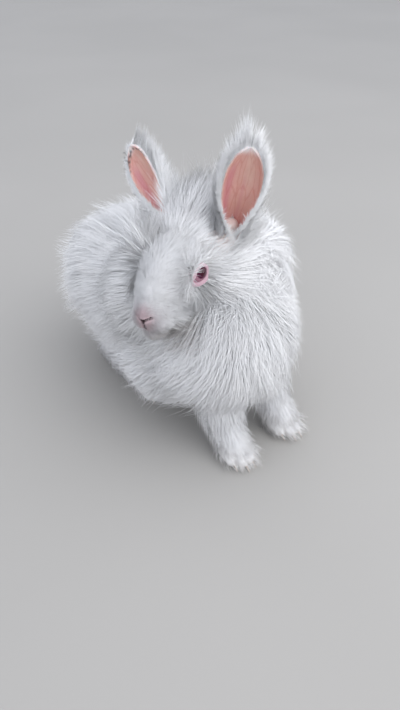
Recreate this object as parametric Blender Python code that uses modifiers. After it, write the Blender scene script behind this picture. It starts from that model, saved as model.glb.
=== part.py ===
"""A young white angora rabbit, life size, standing on its forepaws with its head turned to its right.

The row frame is in metres, +Z up, with the rabbit's forepaws towards -Y and its left side towards +X.
Lengths below are in millimetres. Body places are (left, back, up) from the body datum on the floor,
and head places are (forward, left, up) from the point midway between the eyes.
"""

import math
from collections import namedtuple

import bmesh
import bpy
import numpy as np
from mathutils import Matrix, Vector

MM = 0.001
GAP = 0.3
STRAIGHT = [Vector((1, 0, 0)), Vector((0, 1, 0)), Vector((0, 0, 1))]

# Driving dimensions of the pose
BODY_DATUM = (7.4, -31.4, 0.0)
EYE_MIDPOINT = (-36.4, -28.7, 148.0)
HEAD_TURN_DEG = 70.0
EYE_RADIUS = 8.0
EYE_PLACE = (7.5, 12.4, -0.5)
EYE_LOOK = (0.3, 0.94, 0.12)
EAR_LENGTH = 68.0
FLUFF_CLEAR_OF_FLOOR = 3.0

# Share of the coat's depth that the smooth core fills, below the locks that make the rest
CORE_SHARE, TIP_SHARE = 0.45, 1.0

BODY_VOXEL, LEG_VOXEL, HEAD_VOXEL = 3.0, 1.8, 1.4
BODY_TRIANGLES, LEG_TRIANGLES, HEAD_TRIANGLES = 1500, 1200, 1700

# The locks of the body's coat, and the shorter ones of the head's
BODY_LOCK = {"spacing": 17.5, "length": 42.0, "width": 19.0, "thickness": 6.5, "sink": 6.0, "lift": (0, 7)}
HEAD_LOCK = {"spacing": 12.0, "length": 24.0, "width": 12.0, "thickness": 4.5, "sink": 4.0, "lift": (-1, 4)}
EAR_LOCK = {"length": 13.0, "width": 7.5, "thickness": 2.4, "sink": 1.5}
EAR_FRINGE = [(0.48, 1), (0.48, -1), (0.76, 1), (0.76, -1), (0.96, 0)]
EAR_BACK_FUR = [0.3, 0.56]
LOCK_ARCH = 2.0
LOCK_STATIONS = [(0.0, 0.85, 1.0), (0.4, 1.0, 0.85), (0.74, 0.58, 0.5)]
LOCK_TURNS_DEG = [0, 18, -18, 36, -36, 55, -55, 75, -75]
LOCK_SEED = 12

WHITE_FUR = ((0.86, 0.87, 0.90), 0.9)
EAR_SKIN = ((0.80, 0.42, 0.36), 0.6)
RUBY_EYE = ((0.35, 0.02, 0.06), 0.1)

# A rounded mass of flesh: its middle, its half sizes at the skin, and the coat's depth on it
Mass = namedtuple("Mass", "middle radii coat")
# A tapering limb length between two points, with the skin radius at each
Limb = namedtuple("Limb", "start end start_radius end_radius coat")
# A region of space inside flat faces, each an outward normal and a distance along it
Cell = namedtuple("Cell", "faces")


def both_sides(mass):
    """The mass on the left and its twin on the right."""
    if isinstance(mass, Mass):
        x, y, z = mass.middle
        return [mass, mass._replace(middle=(-x, y, z))]
    (ax, ay, az), (bx, by, bz) = mass.start, mass.end
    return [mass, mass._replace(start=(-ax, ay, az), end=(-bx, by, bz))]


BODY_MASSES = [
    Mass((0, 66, 84), (36, 46, 30), 28),
    Mass((0, 26, 82), (34, 38, 32), 28),
    Mass((-3, -10, 86), (31, 34, 33), 28),
    Mass((-6, -42, 82), (30, 24, 30), 28),
    Mass((2, -20, 112), (29, 27, 32), 26),
    Mass((-28, -8, 60), (20, 24, 16), 22),
    Mass((-14, -40, 60), (18, 16, 14), 20),
    Mass((18, -14, 62), (18, 22, 16), 16),
    Mass((32, -18, 126), (18, 20, 16), 18),
    Mass((0, 36, 42), (26, 52, 16), 14),
    *both_sides(Mass((18, 62, 41), (15, 34, 23), 11)),
    Mass((0, 136, 58), (9, 10, 16), 9),
    Mass((-20, -30, 118), (16, 18, 20), 16),
    Mass((-40, -14, 118), (14, 18, 18), 16),
]
LEG_LIMBS = [
    *both_sides(Limb((22, -46, 58), (24, -60, 24), 14, 8.5, 6)),
    *both_sides(Limb((24, -60, 24), (24.5, -72, 10), 8.5, 8, 4.5)),
    *both_sides(Limb((22, 90, 9), (28, 30, 8), 9, 8.5, 4)),
]
# The toes of one forefoot and one hind foot, side by side
TOES = [
    *both_sides(Limb((17.5, -70, 7), (16, -80, 5), 4.2, 3.6, 2)),
    *both_sides(Limb((22, -72, 8), (21.5, -86, 5), 4.4, 3.6, 2)),
    *both_sides(Limb((27, -72, 8), (27.5, -86, 5), 4.4, 3.6, 2)),
    *both_sides(Limb((31.5, -70, 7), (33, -80, 5), 4.2, 3.6, 2)),
    *both_sides(Limb((22, 30, 7), (21, 18, 5), 4.4, 3.8, 2)),
    *both_sides(Limb((28, 28, 8), (28, 14, 5), 4.6, 3.8, 2)),
    *both_sides(Limb((34, 30, 7), (35, 18, 5), 4.4, 3.8, 2)),
]
HEAD_MASSES = [
    Mass((-16, 0, 4), (24, 18, 18), 10),
    Mass((-20, 0, 16), (12, 8, 9), 14),
    Mass((8, 0, 1), (29, 16, 18), 0),
    Mass((20, 0, -6), (22.5, 14.5, 15.5), 0),
    *both_sides(Mass((6, 7, -9), (25, 11.5, 19), 0)),
    Mass((26, 0, -17), (21, 13.5, 14), 0),
    *both_sides(Mass((34, 5.5, -22.5), (10, 8, 8), 0)),
    Mass((41, 0, -19), (4.5, 5, 5), 0),
    Mass((30, 0, -31), (10.5, 7.5, 6), 0),
    *both_sides(Mass((12, 7, -25), (22, 9, 10), 2)),
    *both_sides(Mass((-14, 13, -14), (12, 8, 14), 12)),
    *both_sides(Mass((5, 12, 9), (12, 7, 6), 0)),
]
EAR_BASES = [
    Limb((-19, 12, 4), (-21, 24, 25), 11, 9, 1),
    Limb((-17, -11, 4), (-22, -24, 21.5), 11, 9, 1),
]
MOUTH_MIDDLE, MOUTH_HEIGHT, MOUTH_SPREAD_DEG = 26.0, -28.5, 62.0
NOSTRIL_PLACE, NOSTRIL_RADII = (44.5, 3.4, -18.6), (3.0, 3.2, 0.8)
LIP_CLEFT_PLACE, LIP_CLEFT_RADII = (44.0, 0.0, -24.0), (3.5, 0.6, 4.0)


def body_at(place):
    """A body place in the row frame, in metres."""
    return (Vector(BODY_DATUM) + Vector(place)) * MM


def head_axes():
    """The head's forward, left and up directions in the row frame."""
    turn = math.radians(HEAD_TURN_DEG)
    forward = Vector((-math.sin(turn), -math.cos(turn), 0))
    left = Vector((math.cos(turn), -math.sin(turn), 0))
    return forward, left, Vector((0, 0, 1))


def head_turned(direction):
    """A head direction (forward, left, up) as a direction in the row frame."""
    return sum((axis * part for axis, part in zip(head_axes(), direction)), Vector())


def head_at(place):
    """A head place in the row frame, in metres."""
    return body_at(EYE_MIDPOINT) + head_turned(place) * MM


def clear_scene():
    for obj in list(bpy.data.objects):
        bpy.data.objects.remove(obj)


def new_collection(name):
    found = bpy.data.collections.new(name)
    bpy.context.scene.collection.children.link(found)
    return found


def new_material(name, look):
    colour, roughness = look
    material = bpy.data.materials.new(name)
    material.use_nodes = True
    shader = material.node_tree.nodes["Principled BSDF"]
    shader.inputs["Base Color"].default_value = (*colour, 1)
    shader.inputs["Roughness"].default_value = roughness
    return material


def new_object(name, bm, collection):
    """The bmesh as an object with its normals outwards."""
    bmesh.ops.recalc_face_normals(bm, faces=bm.faces)
    mesh = bpy.data.meshes.new(name)
    bm.to_mesh(mesh)
    bm.free()
    obj = bpy.data.objects.new(name, mesh)
    collection.objects.link(obj)
    return obj


def apply_modifiers(obj):
    bpy.context.view_layer.update()
    graph = bpy.context.evaluated_depsgraph_get()
    made = bpy.data.meshes.new_from_object(obj.evaluated_get(graph))
    obj.modifiers.clear()
    obj.data = made


def add_ellipsoid(bm, middle, axes, radii, detail=3):
    """An ellipsoid in the bmesh, its radii in metres along the given axes."""
    turn = Matrix([[axes[c][r] * radii[c] for c in range(3)] for r in range(3)]).to_4x4()
    place = Matrix.Translation(middle) @ turn
    bmesh.ops.create_icosphere(bm, subdivisions=detail, radius=1, matrix=place)


def add_limb(bm, limb, share, at):
    """A chain of balls from one end of the limb to the other, close enough to fuse into a taper."""
    start, end = at(limb.start), at(limb.end)
    steps = 7
    for i in range(steps):
        t = i / (steps - 1)
        radius = (limb.start_radius + (limb.end_radius - limb.start_radius) * t + share * limb.coat) * MM
        bmesh.ops.create_icosphere(
            bm, subdivisions=2, radius=radius, matrix=Matrix.Translation(start.lerp(end, t))
        )


def fused(name, bm, voxel, smoothing, triangles, collection):
    """Overlapping shapes melted into one smooth closed skin of about the given number of triangles."""
    obj = new_object(name, bm, collection)
    remesh = obj.modifiers.new("melt", "REMESH")
    remesh.mode = "VOXEL"
    remesh.voxel_size = voxel * MM
    smooth = obj.modifiers.new("smooth", "SMOOTH")
    smooth.factor = 0.5
    smooth.iterations = smoothing
    apply_modifiers(obj)
    obj.data.calc_loop_triangles()
    thin = obj.modifiers.new("thin", "DECIMATE")
    thin.ratio = min(1.0, triangles / len(obj.data.loop_triangles))
    thin.use_collapse_triangulate = True
    apply_modifiers(obj)
    return obj


def body_form(share, collection):
    """Torso, neck, haunches and tail as one skin."""
    bm = bmesh.new()
    for mass in BODY_MASSES:
        radii = [(r + share * mass.coat) * MM for r in mass.radii]
        add_ellipsoid(bm, body_at(mass.middle), STRAIGHT, radii)
    return fused("body_form", bm, BODY_VOXEL, 8, BODY_TRIANGLES, collection)


def leg_form(collection):
    """The four feet with their toes, whose short fur is all solid."""
    bm = bmesh.new()
    for limb in LEG_LIMBS + TOES:
        add_limb(bm, limb, 1.0, body_at)
    return fused("leg_form", bm, LEG_VOXEL, 2, LEG_TRIANGLES, collection)


def head_form(share, collection):
    """Skull, cheeks and muzzle as one skin."""
    bm = bmesh.new()
    for mass in HEAD_MASSES:
        radii = [(r + share * mass.coat) * MM for r in mass.radii]
        add_ellipsoid(bm, head_at(mass.middle), head_axes(), radii)
    for base in EAR_BASES:
        add_limb(bm, base, share, head_at)
    return fused("head_form", bm, HEAD_VOXEL, 5, HEAD_TRIANGLES, collection)


def face(normal, point):
    """A cell face through a point of the row frame."""
    n = Vector(normal).normalized()
    return n, n.dot(Vector(point))


def opposite(cell_face):
    normal, distance = cell_face
    return -normal, -distance


def block(x0, x1, y0, y1, z0, z1):
    """A cell with sides along the body's axes."""
    low, high = body_at((x0, y0, z0)), body_at((x1, y1, z1))
    sides = [face((-1, 0, 0), low), face((0, -1, 0), low), face((0, 0, -1), low)]
    return Cell(sides + [face((1, 0, 0), high), face((0, 1, 0), high), face((0, 0, 1), high)])


def mirrored_block(x0, x1, *rest):
    return block(x0, x1, *rest), block(-x1, -x0, *rest)


# Where the throat and the nape part the head from the neck, and the neck from the torso
HEAD_PART = face(head_turned((0.648, 0, 0.762)), head_at((-4, 0, -31)))
NECK_PART = face((0, -0.33, 0.944), body_at((0, -20, 100)))
FORELEG_LEFT, FORELEG_RIGHT = mirrored_block(3, 48, -110, -34, -5, 46)
THIGH_LEFT, THIGH_RIGHT = mirrored_block(26, 90, 22, 112, 19, 86)
HINDFOOT_LEFT, HINDFOOT_RIGHT = mirrored_block(7, 48, 4, 106, -5, 19)
TAIL = block(-19, 19, 126, 190, 34, 86)
LIMB_CELLS = {
    "foreleg_left": FORELEG_LEFT,
    "foreleg_right": FORELEG_RIGHT,
    "thigh_left": THIGH_LEFT,
    "thigh_right": THIGH_RIGHT,
    "hindfoot_left": HINDFOOT_LEFT,
    "hindfoot_right": HINDFOOT_RIGHT,
    "tail": TAIL,
}
ROOT_TRIES = 4000
LOCK_CLEAR_OF_FLOOR = 7.0
LONG_COAT_BEHIND = -3.0


def ear_frame(axis, opening):
    """Unit directions along the ear, towards its opening, and across it."""
    along = head_turned(axis).normalized()
    front = head_turned(opening)
    front = (front - along * front.dot(along)).normalized()
    return along, front, along.cross(front)


Ear = namedtuple("Ear", "root axis opening")
EARS = {
    "ear_left": Ear((-22, 20, 14), (0.08, 0.33, 0.94), (0.85, 0.47, 0.0)),
    "ear_right": Ear((-18, -15, 15), (-0.35, -0.76, 0.54), (0.88, -0.48, 0.0)),
}
EAR_CELL_START, EAR_CELL_HALF, EAR_CELL_SPREAD = 9.0, 11.5, 0.32


def ear_cell(ear):
    """A region round the ear that widens from its root to past its tip."""
    along, front, across = ear_frame(ear.axis, ear.opening)
    root = head_at(ear.root) + along * EAR_CELL_START * MM
    faces = [face(-along, root)]
    for side in (front, -front, across, -across):
        faces.append(face(side - along * EAR_CELL_SPREAD, root + side * EAR_CELL_HALF * MM))
    return Cell(faces)


def cell_cutter(name, faces, grow, collection):
    """A closed block inside the faces, each moved out by grow millimetres."""
    bm = bmesh.new()
    bmesh.ops.create_cube(bm, size=1.2)
    for normal, distance in faces:
        geometry = bm.verts[:] + bm.edges[:] + bm.faces[:]
        cut = bmesh.ops.bisect_plane(
            bm, geom=geometry, plane_co=normal * (distance + grow * MM), plane_no=normal, clear_outer=True
        )
        edges = [e for e in cut["geom_cut"] if isinstance(e, bmesh.types.BMEdge)]
        if edges:
            bmesh.ops.contextual_create(bm, geom=edges)
    bmesh.ops.triangulate(bm, faces=bm.faces)
    cutter = new_object(name, bm, collection)
    cutter.hide_render = True
    cutter.display_type = "WIRE"
    return cutter


def boolean(obj, operation, other, solver="MANIFOLD"):
    """One Boolean with an object or with every object of a collection, applied."""
    modifier = obj.modifiers.new(operation, "BOOLEAN")
    modifier.operation = operation
    modifier.solver = solver
    if isinstance(other, bpy.types.Collection):
        modifier.operand_type = "COLLECTION"
        modifier.collection = other
    else:
        modifier.object = other
    apply_modifiers(obj)


def keep_largest(obj):
    """Drops every closed surface but the largest."""
    bm = bmesh.new()
    bm.from_mesh(obj.data)
    bmesh.ops.triangulate(bm, faces=bm.faces)
    left, groups = set(bm.faces), []
    while left:
        group, edge = set(), [left.pop()]
        while edge:
            found = edge.pop()
            group.add(found)
            near = {f for e in found.edges if len(e.link_faces) == 2 for f in e.link_faces} & left
            left -= near
            edge.extend(near)
        groups.append(group)
    size = [abs(sum(f.verts[0].co.dot(f.verts[1].co.cross(f.verts[2].co)) for f in g)) for g in groups]
    best = groups[size.index(max(size))]
    bmesh.ops.delete(bm, geom=[f for g in groups if g is not best for f in g], context="FACES")
    bm.to_mesh(obj.data)
    bm.free()


def inside_faces(point, faces, margin=0.0):
    return all(normal.dot(point) < distance - margin * MM for normal, distance in faces)


def home_of(point):
    """The name of the node whose region holds a point of the row frame."""
    for name, cell in LIMB_CELLS.items():
        if inside_faces(point, cell.faces):
            return name
    if not inside_faces(point, [HEAD_PART]):
        return "head"
    return "torso" if inside_faces(point, [NECK_PART]) else "neck"


def scattered_roots(obj, spacing, rng):
    """Seeded places on the object's surface, each with its outward normal, at least a spacing apart."""
    mesh = obj.data
    mesh.calc_loop_triangles()
    corners = np.array([[mesh.vertices[v].co for v in t.vertices] for t in mesh.loop_triangles])
    normals = np.cross(corners[:, 1] - corners[:, 0], corners[:, 2] - corners[:, 0])
    areas = np.linalg.norm(normals, axis=1)
    picked = rng.choice(len(areas), size=ROOT_TRIES, p=areas / areas.sum())
    along = np.sort(rng.random((ROOT_TRIES, 2)), axis=1)
    weights = np.stack([along[:, 0], along[:, 1] - along[:, 0], 1 - along[:, 1]], axis=1)
    places = (corners[picked] * weights[:, :, None]).sum(axis=1)
    kept = []
    for i, place in enumerate(places):
        if all(np.linalg.norm(place - places[k]) > spacing * MM for k in kept):
            kept.append(i)
    return [(Vector(places[k]), Vector(normals[picked[k]]).normalized()) for k in kept]


def lock_spine(root, normal, lie, tips, lift, size):
    """Points of a lock's middle line: out of the skin, over, and along the coat's outline to its tip."""
    start = root - normal * size["sink"] * MM
    _, bend, out, _ = tips.closest_point_on_mesh(root + normal * 8 * MM + lie * size["length"] * 0.4 * MM)
    bend = bend + out * LOCK_ARCH * MM
    _, tip, out, _ = tips.closest_point_on_mesh(root + normal * 8 * MM + lie * size["length"] * MM)
    tip = tip + out * lift * MM
    shares = [t for t, _, _ in LOCK_STATIONS] + [1.0]
    return [start * (1 - t) ** 2 + bend * 2 * t * (1 - t) + tip * t**2 for t in shares]


def add_lock(bm, spine, normal, size):
    """A flat tapered lock with a lens-shaped section along the spine."""
    rings = []
    for i, (_, wide, thick) in enumerate(LOCK_STATIONS):
        along = (spine[i + 1] - spine[max(i - 1, 0)]).normalized()
        side = along.cross(normal).normalized()
        up = side.cross(along)
        across, through = side * size["width"] * wide * MM / 2, up * size["thickness"] * thick * MM / 2
        rings.append([bm.verts.new(spine[i] + v) for v in (across, through, -across, -through)])
    for low, high in zip(rings, rings[1:]):
        for j in range(4):
            bm.faces.new((low[j], low[j - 1], high[j - 1], high[j]))
    tip = bm.verts.new(spine[-1])
    for j in range(4):
        bm.faces.new((rings[-1][j], rings[-1][j - 1], tip))
    bm.faces.new(rings[0])


def lock_object(spine, normal, size, pieces):
    bm = bmesh.new()
    add_lock(bm, spine, normal, size)
    return new_object("lock", bm, pieces)


def cover_with_locks(form, tips, flow, wanted, size, rng):
    """Locks rooted over a form, out to the surface that the tips reach, each kept inside its own node."""
    pieces = new_collection("locks")
    for root, normal in scattered_roots(form, size["spacing"], rng):
        home = home_of(root)
        if not wanted(root, normal, home):
            continue
        lift = rng.uniform(*size["lift"])
        change = rng.uniform(0.85, 1.15, 2)
        own = {key: size[key] for key in ("length", "width", "thickness", "sink")}
        own["length"] *= change[0]
        own["width"] *= change[1]
        lie = flow(normal)
        lie = (lie - normal * lie.dot(normal)).normalized()
        wander = rng.uniform(-14, 14)
        for turn in LOCK_TURNS_DEG:
            bent = Matrix.Rotation(math.radians(turn + wander), 3, normal) @ lie
            spine = lock_spine(root, normal, bent, tips, lift, own)
            clear = all(p.z > LOCK_CLEAR_OF_FLOOR * MM for p in spine)
            if clear and all(home_of(p) == home for p in spine[1:]) and wanted(spine[-1], normal, home):
                lock_object(spine, normal, own, pieces)
                break
        else:
            spine = lock_spine(root, normal, lie, tips, lift, own)
            homes = {home_of(p) for p in spine[1:]}
            clear = all(p.z > LOCK_CLEAR_OF_FLOOR * MM for p in spine)
            if clear and homes <= {"neck", "torso"}:
                lock_object(spine, normal, own, pieces)
    fuse_collection(form, pieces)


def body_flow(normal):
    """The body's coat lies back along the spine, back and down on the flanks and down on the chest."""
    return Vector((0.3 * normal.x, 1 + min(0, normal.y), -0.7))


def head_flow(normal):
    """The head's coat lies back from the face and a little down."""
    return head_turned((-1, 0, -0.25))


def on_body(place, normal, home):
    """Where the body's long coat grows: not under the belly and not in the room of the feet."""
    if home in ("head", "foreleg_left", "foreleg_right", "hindfoot_left", "hindfoot_right"):
        return False
    return normal.z > -0.75


def on_head(place, normal, home):
    """Where the head's long coat grows: behind the face, round the ears."""
    back = head_axes()[0].dot(place - body_at(EYE_MIDPOINT)) / MM
    if home != "head" or back > LONG_COAT_BEHIND:
        return False
    return not any(inside_faces(place, ear_cell(ear).faces, -4) for ear in EARS.values())


def parted(name, form, inside, outside, parts, cutters):
    """The share of a form inside one set of faces and outside some cells, with half a gap on every side."""
    obj = bpy.data.objects.new(name, form.data.copy())
    parts.objects.link(obj)
    keep = cell_cutter(name + "_keep", inside, -GAP / 2, cutters)
    boolean(obj, "INTERSECT", keep)
    for cell in outside:
        boolean(obj, "DIFFERENCE", cell_cutter(name + "_clear", cell.faces, GAP / 2, cutters))
    keep_largest(obj)
    return obj


def floor_above(height):
    return face((0, 0, -1), (0, 0, height * MM))


# Half the width of the ear's rolled sheet and the half angle that it is rolled through, from root to tip
EAR_STATIONS = [
    (0.00, 16.0, 150),
    (0.12, 16.5, 138),
    (0.28, 17.0, 104),
    (0.46, 17.0, 78),
    (0.64, 15.8, 64),
    (0.79, 12.8, 55),
    (0.90, 8.6, 50),
    (0.97, 4.4, 46),
    (1.00, 1.6, 45),
]
EAR_THICKNESS = 2.2
RIM_LEAN, BACK_LEAN = 0.45, 0.5
LID_RADII, LID_RISE, LID_ROLL = (6.6, 5.4), 5.0, 1.5
EYE_PIT_RISE, EYE_PIT_RADII = 12.0, (7.8, 6.8, 9.2)
MOUTH_GROOVE = 0.8


def ear_solid(name, ear, parts):
    """A leaf-shaped sheet, rolled into a tube at its root and opening into a cup, with a real thickness."""
    along, front, across = ear_frame(ear.axis, ear.opening)
    root = head_at(ear.root)
    columns = 9
    bm = bmesh.new()
    rows = []
    for height, half_width, half_angle in EAR_STATIONS:
        angle = math.radians(half_angle)
        radius = half_width / angle
        depth = radius * (1 - math.cos(angle)) / 2
        spine = root + (along * height * EAR_LENGTH - front * depth) * MM
        row = []
        for i in range(columns):
            turn = angle * (2 * i / (columns - 1) - 1)
            offset = across * math.sin(turn) + front * (1 - math.cos(turn))
            row.append(bm.verts.new(spine + offset * radius * MM))
        rows.append(row)
    for low, high in zip(rows, rows[1:]):
        for i in range(columns - 1):
            bm.faces.new((low[i], low[i + 1], high[i + 1], high[i]))
    obj = new_object(name, bm, parts)
    wall = obj.modifiers.new("wall", "SOLIDIFY")
    wall.thickness = EAR_THICKNESS * MM
    wall.offset = 0
    apply_modifiers(obj)
    return obj


def ear_lock(ear, height, side, lean, pieces, rng):
    """A lock on the ear's rim at a height, or on its back where side is 0, leaning out by lean."""
    along, front, across = ear_frame(ear.axis, ear.opening)
    heights, half_widths, half_angles = zip(*EAR_STATIONS)
    angle = math.radians(float(np.interp(height, heights, half_angles)))
    radius = float(np.interp(height, heights, half_widths)) / angle
    turn = angle * side
    depth = radius * (1 - math.cos(angle)) / 2
    ring = across * math.sin(turn) * radius + front * ((1 - math.cos(turn)) * radius - depth)
    root = head_at(ear.root) + (along * height * EAR_LENGTH + ring) * MM
    out = across * math.cos(turn) * side + front * math.sin(turn) * side if side else -front
    grow = (along + out * lean).normalized()
    length = EAR_LOCK["length"] * rng.uniform(0.85, 1.2)
    normal = grow.cross(along.cross(grow)).normalized() if side == 0 else grow.cross(out.cross(along)).normalized()
    start = root - grow * EAR_LOCK["sink"] * MM
    bow = out * rng.uniform(0.02, 0.12) + along * 0.06
    shares = [t for t, _, _ in LOCK_STATIONS] + [1.0]
    spine = [start + (grow * t + bow * t * t) * length * MM for t in shares]
    lock_object(spine, -front if side else normal, EAR_LOCK, pieces)


def ear_node(name, ear, parts, cutters, rng):
    """The ear's sheet fused to a rounded furry root, with a fringe, cut square where it meets the head."""
    along, front, across = ear_frame(ear.axis, ear.opening)
    obj = ear_solid(name, ear, parts)
    pieces = new_collection(name + "_pieces")
    for height, side in EAR_FRINGE:
        ear_lock(ear, height, side * 0.94, RIM_LEAN * abs(side), pieces, rng)
    for height in EAR_BACK_FUR:
        ear_lock(ear, height, 0, BACK_LEAN, pieces, rng)
    bm = bmesh.new()
    middle = head_at(ear.root) + along * 11 * MM - front * 3 * MM
    add_ellipsoid(bm, middle, (along, front, across), [12 * MM, 8 * MM, 8.6 * MM], detail=2)
    new_object("root", bm, pieces)
    fuse_collection(obj, pieces)
    boolean(obj, "INTERSECT", cell_cutter(name + "_keep", ear_cell(ear).faces, -GAP / 2, cutters))
    keep_largest(obj)
    return obj


def fuse_collection(obj, pieces):
    """Joins every piece of the collection to the object, and removes the collection."""
    boolean(obj, "UNION", pieces)
    for piece in list(pieces.objects):
        bpy.data.objects.remove(piece)
    bpy.data.collections.remove(pieces)


def eye_node(name, side, parts):
    """A ball of the eye's real size."""
    x, y, z = EYE_PLACE
    bm = bmesh.new()
    add_ellipsoid(bm, head_at((x, side * y, z)), head_axes(), [EYE_RADIUS * MM] * 3, detail=3)
    obj = new_object(name, bm, parts)
    for polygon in obj.data.polygons:
        polygon.use_smooth = True
    return obj


def ellipsoid_cutter(name, middle, axes, radii, cutters, detail=3):
    bm = bmesh.new()
    add_ellipsoid(bm, middle, axes, [r * MM for r in radii], detail)
    return new_object(name, bm, cutters)


def shape_eye(head, side, cutters):
    """An almond opening with a rolled lid round it, and room for the eyeball behind."""
    x, y, z = EYE_PLACE
    look_x, look_y, look_z = EYE_LOOK
    middle = head_at((x, side * y, z))
    look = head_turned((look_x, side * look_y, look_z)).normalized()
    level = head_turned((0.98, 0, -0.2))
    level = (level - look * level.dot(look)).normalized()
    axes = (level, look.cross(level), look)
    opening = ellipsoid_cutter("opening", middle + look * EYE_PIT_RISE * MM, axes, EYE_PIT_RADII, cutters, 2)
    boolean(head, "DIFFERENCE", opening)
    bm = bmesh.new()
    around, across = 20, 6
    rings = []
    for i in range(around):
        turn = 2 * math.pi * i / around
        out = level * math.cos(turn) * LID_RADII[0] + axes[1] * math.sin(turn) * LID_RADII[1]
        rim = middle + (look * LID_RISE + out) * MM
        outwards = out.normalized()
        ring = []
        for j in range(across):
            roll = 2 * math.pi * j / across
            ring.append(bm.verts.new(rim + (outwards * math.cos(roll) + look * math.sin(roll)) * LID_ROLL * MM))
        rings.append(ring)
    for ring, following in zip(rings, rings[1:] + rings[:1]):
        for j in range(across):
            bm.faces.new((ring[j], following[j], following[j - 1], ring[j - 1]))
    boolean(head, "UNION", new_object("lid", bm, cutters))
    room = EYE_RADIUS + GAP
    boolean(head, "DIFFERENCE", ellipsoid_cutter("socket", middle, axes, (room, room, room), cutters))


def surface_point(obj, start, direction):
    """Where a line from a point inside the object comes out of it."""
    hit, place, _, _ = obj.ray_cast(start, direction)
    return place if hit else start


def shape_muzzle(head, cutters):
    """The line of the mouth, the cleft of the lip and two slits for nostrils."""
    middle = head_at((MOUTH_MIDDLE, 0, MOUTH_HEIGHT))
    bm = bmesh.new()
    stations, sides, rings = 13, 4, []
    for i in range(stations):
        share = 2 * i / (stations - 1) - 1
        turn = math.radians(MOUTH_SPREAD_DEG * share)
        out = head_turned((math.cos(turn), math.sin(turn), 0.06 + 0.12 * share**2)).normalized()
        place = surface_point(head, middle, out)
        size = MOUTH_GROOVE * (1.1 - 0.7 * share**4) * MM
        ring = []
        for j in range(sides):
            roll = 2 * math.pi * j / sides
            ring.append(bm.verts.new(place + (out * math.cos(roll) * 1.8 + Vector((0, 0, math.sin(roll)))) * size))
        rings.append(ring)
    for low, high in zip(rings, rings[1:]):
        for j in range(sides):
            bm.faces.new((low[j], high[j], high[j - 1], low[j - 1]))
    bm.faces.new(rings[0])
    bm.faces.new(rings[-1][::-1])
    boolean(head, "DIFFERENCE", new_object("mouth", bm, cutters))
    forward, left, up = head_axes()
    cleft = ellipsoid_cutter("cleft", head_at(LIP_CLEFT_PLACE), (forward, left, up), LIP_CLEFT_RADII, cutters, 2)
    boolean(head, "DIFFERENCE", cleft)
    for side in (1, -1):
        x, y, z = NOSTRIL_PLACE
        along = (left * side + up * 0.45 - forward * 0.5).normalized()
        thin = along.cross(forward).normalized()
        axes = (thin.cross(along), along, thin)
        nostril = ellipsoid_cutter("nostril", head_at((x, side * y, z)), axes, NOSTRIL_RADII, cutters, 2)
        boolean(head, "DIFFERENCE", nostril)


def build():
    clear_scene()
    parts = new_collection("angora_rabbit")
    cutters = new_collection("cutters")
    looks = {"ear": new_material("ear_skin", EAR_SKIN), "eye": new_material("ruby_eye", RUBY_EYE)}
    fur = new_material("white_fur", WHITE_FUR)

    rng = np.random.default_rng(LOCK_SEED)
    body = body_form(CORE_SHARE, cutters)
    cover_with_locks(body, body_form(TIP_SHARE, cutters), body_flow, on_body, BODY_LOCK, rng)
    feet = leg_form(cutters)
    head = head_form(CORE_SHARE, cutters)
    cover_with_locks(head, head_form(TIP_SHARE, cutters), head_flow, on_head, HEAD_LOCK, rng)
    floor = floor_above(-GAP / 2)
    fluff_floor = floor_above(FLUFF_CLEAR_OF_FLOOR)
    legs = [FORELEG_LEFT, FORELEG_RIGHT, THIGH_LEFT, THIGH_RIGHT, HINDFOOT_LEFT, HINDFOOT_RIGHT]

    parted("torso", body, [NECK_PART, HEAD_PART, fluff_floor], [*legs, TAIL], parts, cutters)
    parted("neck", body, [opposite(NECK_PART), HEAD_PART], [], parts, cutters)
    parted("tail", body, TAIL.faces, [], parts, cutters)
    for name, cell in (("foreleg_left", FORELEG_LEFT), ("foreleg_right", FORELEG_RIGHT)):
        parted(name, feet, cell.faces + [floor], [], parts, cutters)
    for name, cell in (("thigh_left", THIGH_LEFT), ("thigh_right", THIGH_RIGHT)):
        parted(name, body, cell.faces, [], parts, cutters)
    for name, cell in (("hindfoot_left", HINDFOOT_LEFT), ("hindfoot_right", HINDFOOT_RIGHT)):
        parted(name, feet, cell.faces + [floor], [], parts, cutters)

    ear_cells = [ear_cell(ear) for ear in EARS.values()]
    skull = parted("head", head, [opposite(HEAD_PART)], ear_cells, parts, cutters)
    for name, side in (("eye_left", 1), ("eye_right", -1)):
        eye_node(name, side, parts)
        shape_eye(skull, side, cutters)
    shape_muzzle(skull, cutters)
    keep_largest(skull)
    for name, ear in EARS.items():
        ear_node(name, ear, parts, cutters, rng)

    for obj in parts.objects:
        obj.data.materials.clear()
        obj.data.materials.append(looks.get(obj.name.split("_")[0], fur))
    for obj in list(cutters.objects):
        bpy.data.objects.remove(obj)
    bpy.data.collections.remove(cutters)


if __name__ == "__main__":
    build()
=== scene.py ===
import math
import time

import bmesh
import bpy
import numpy as np
from mathutils import Matrix, Vector
from mathutils.bvhtree import BVHTree
from mathutils.kdtree import KDTree


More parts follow.
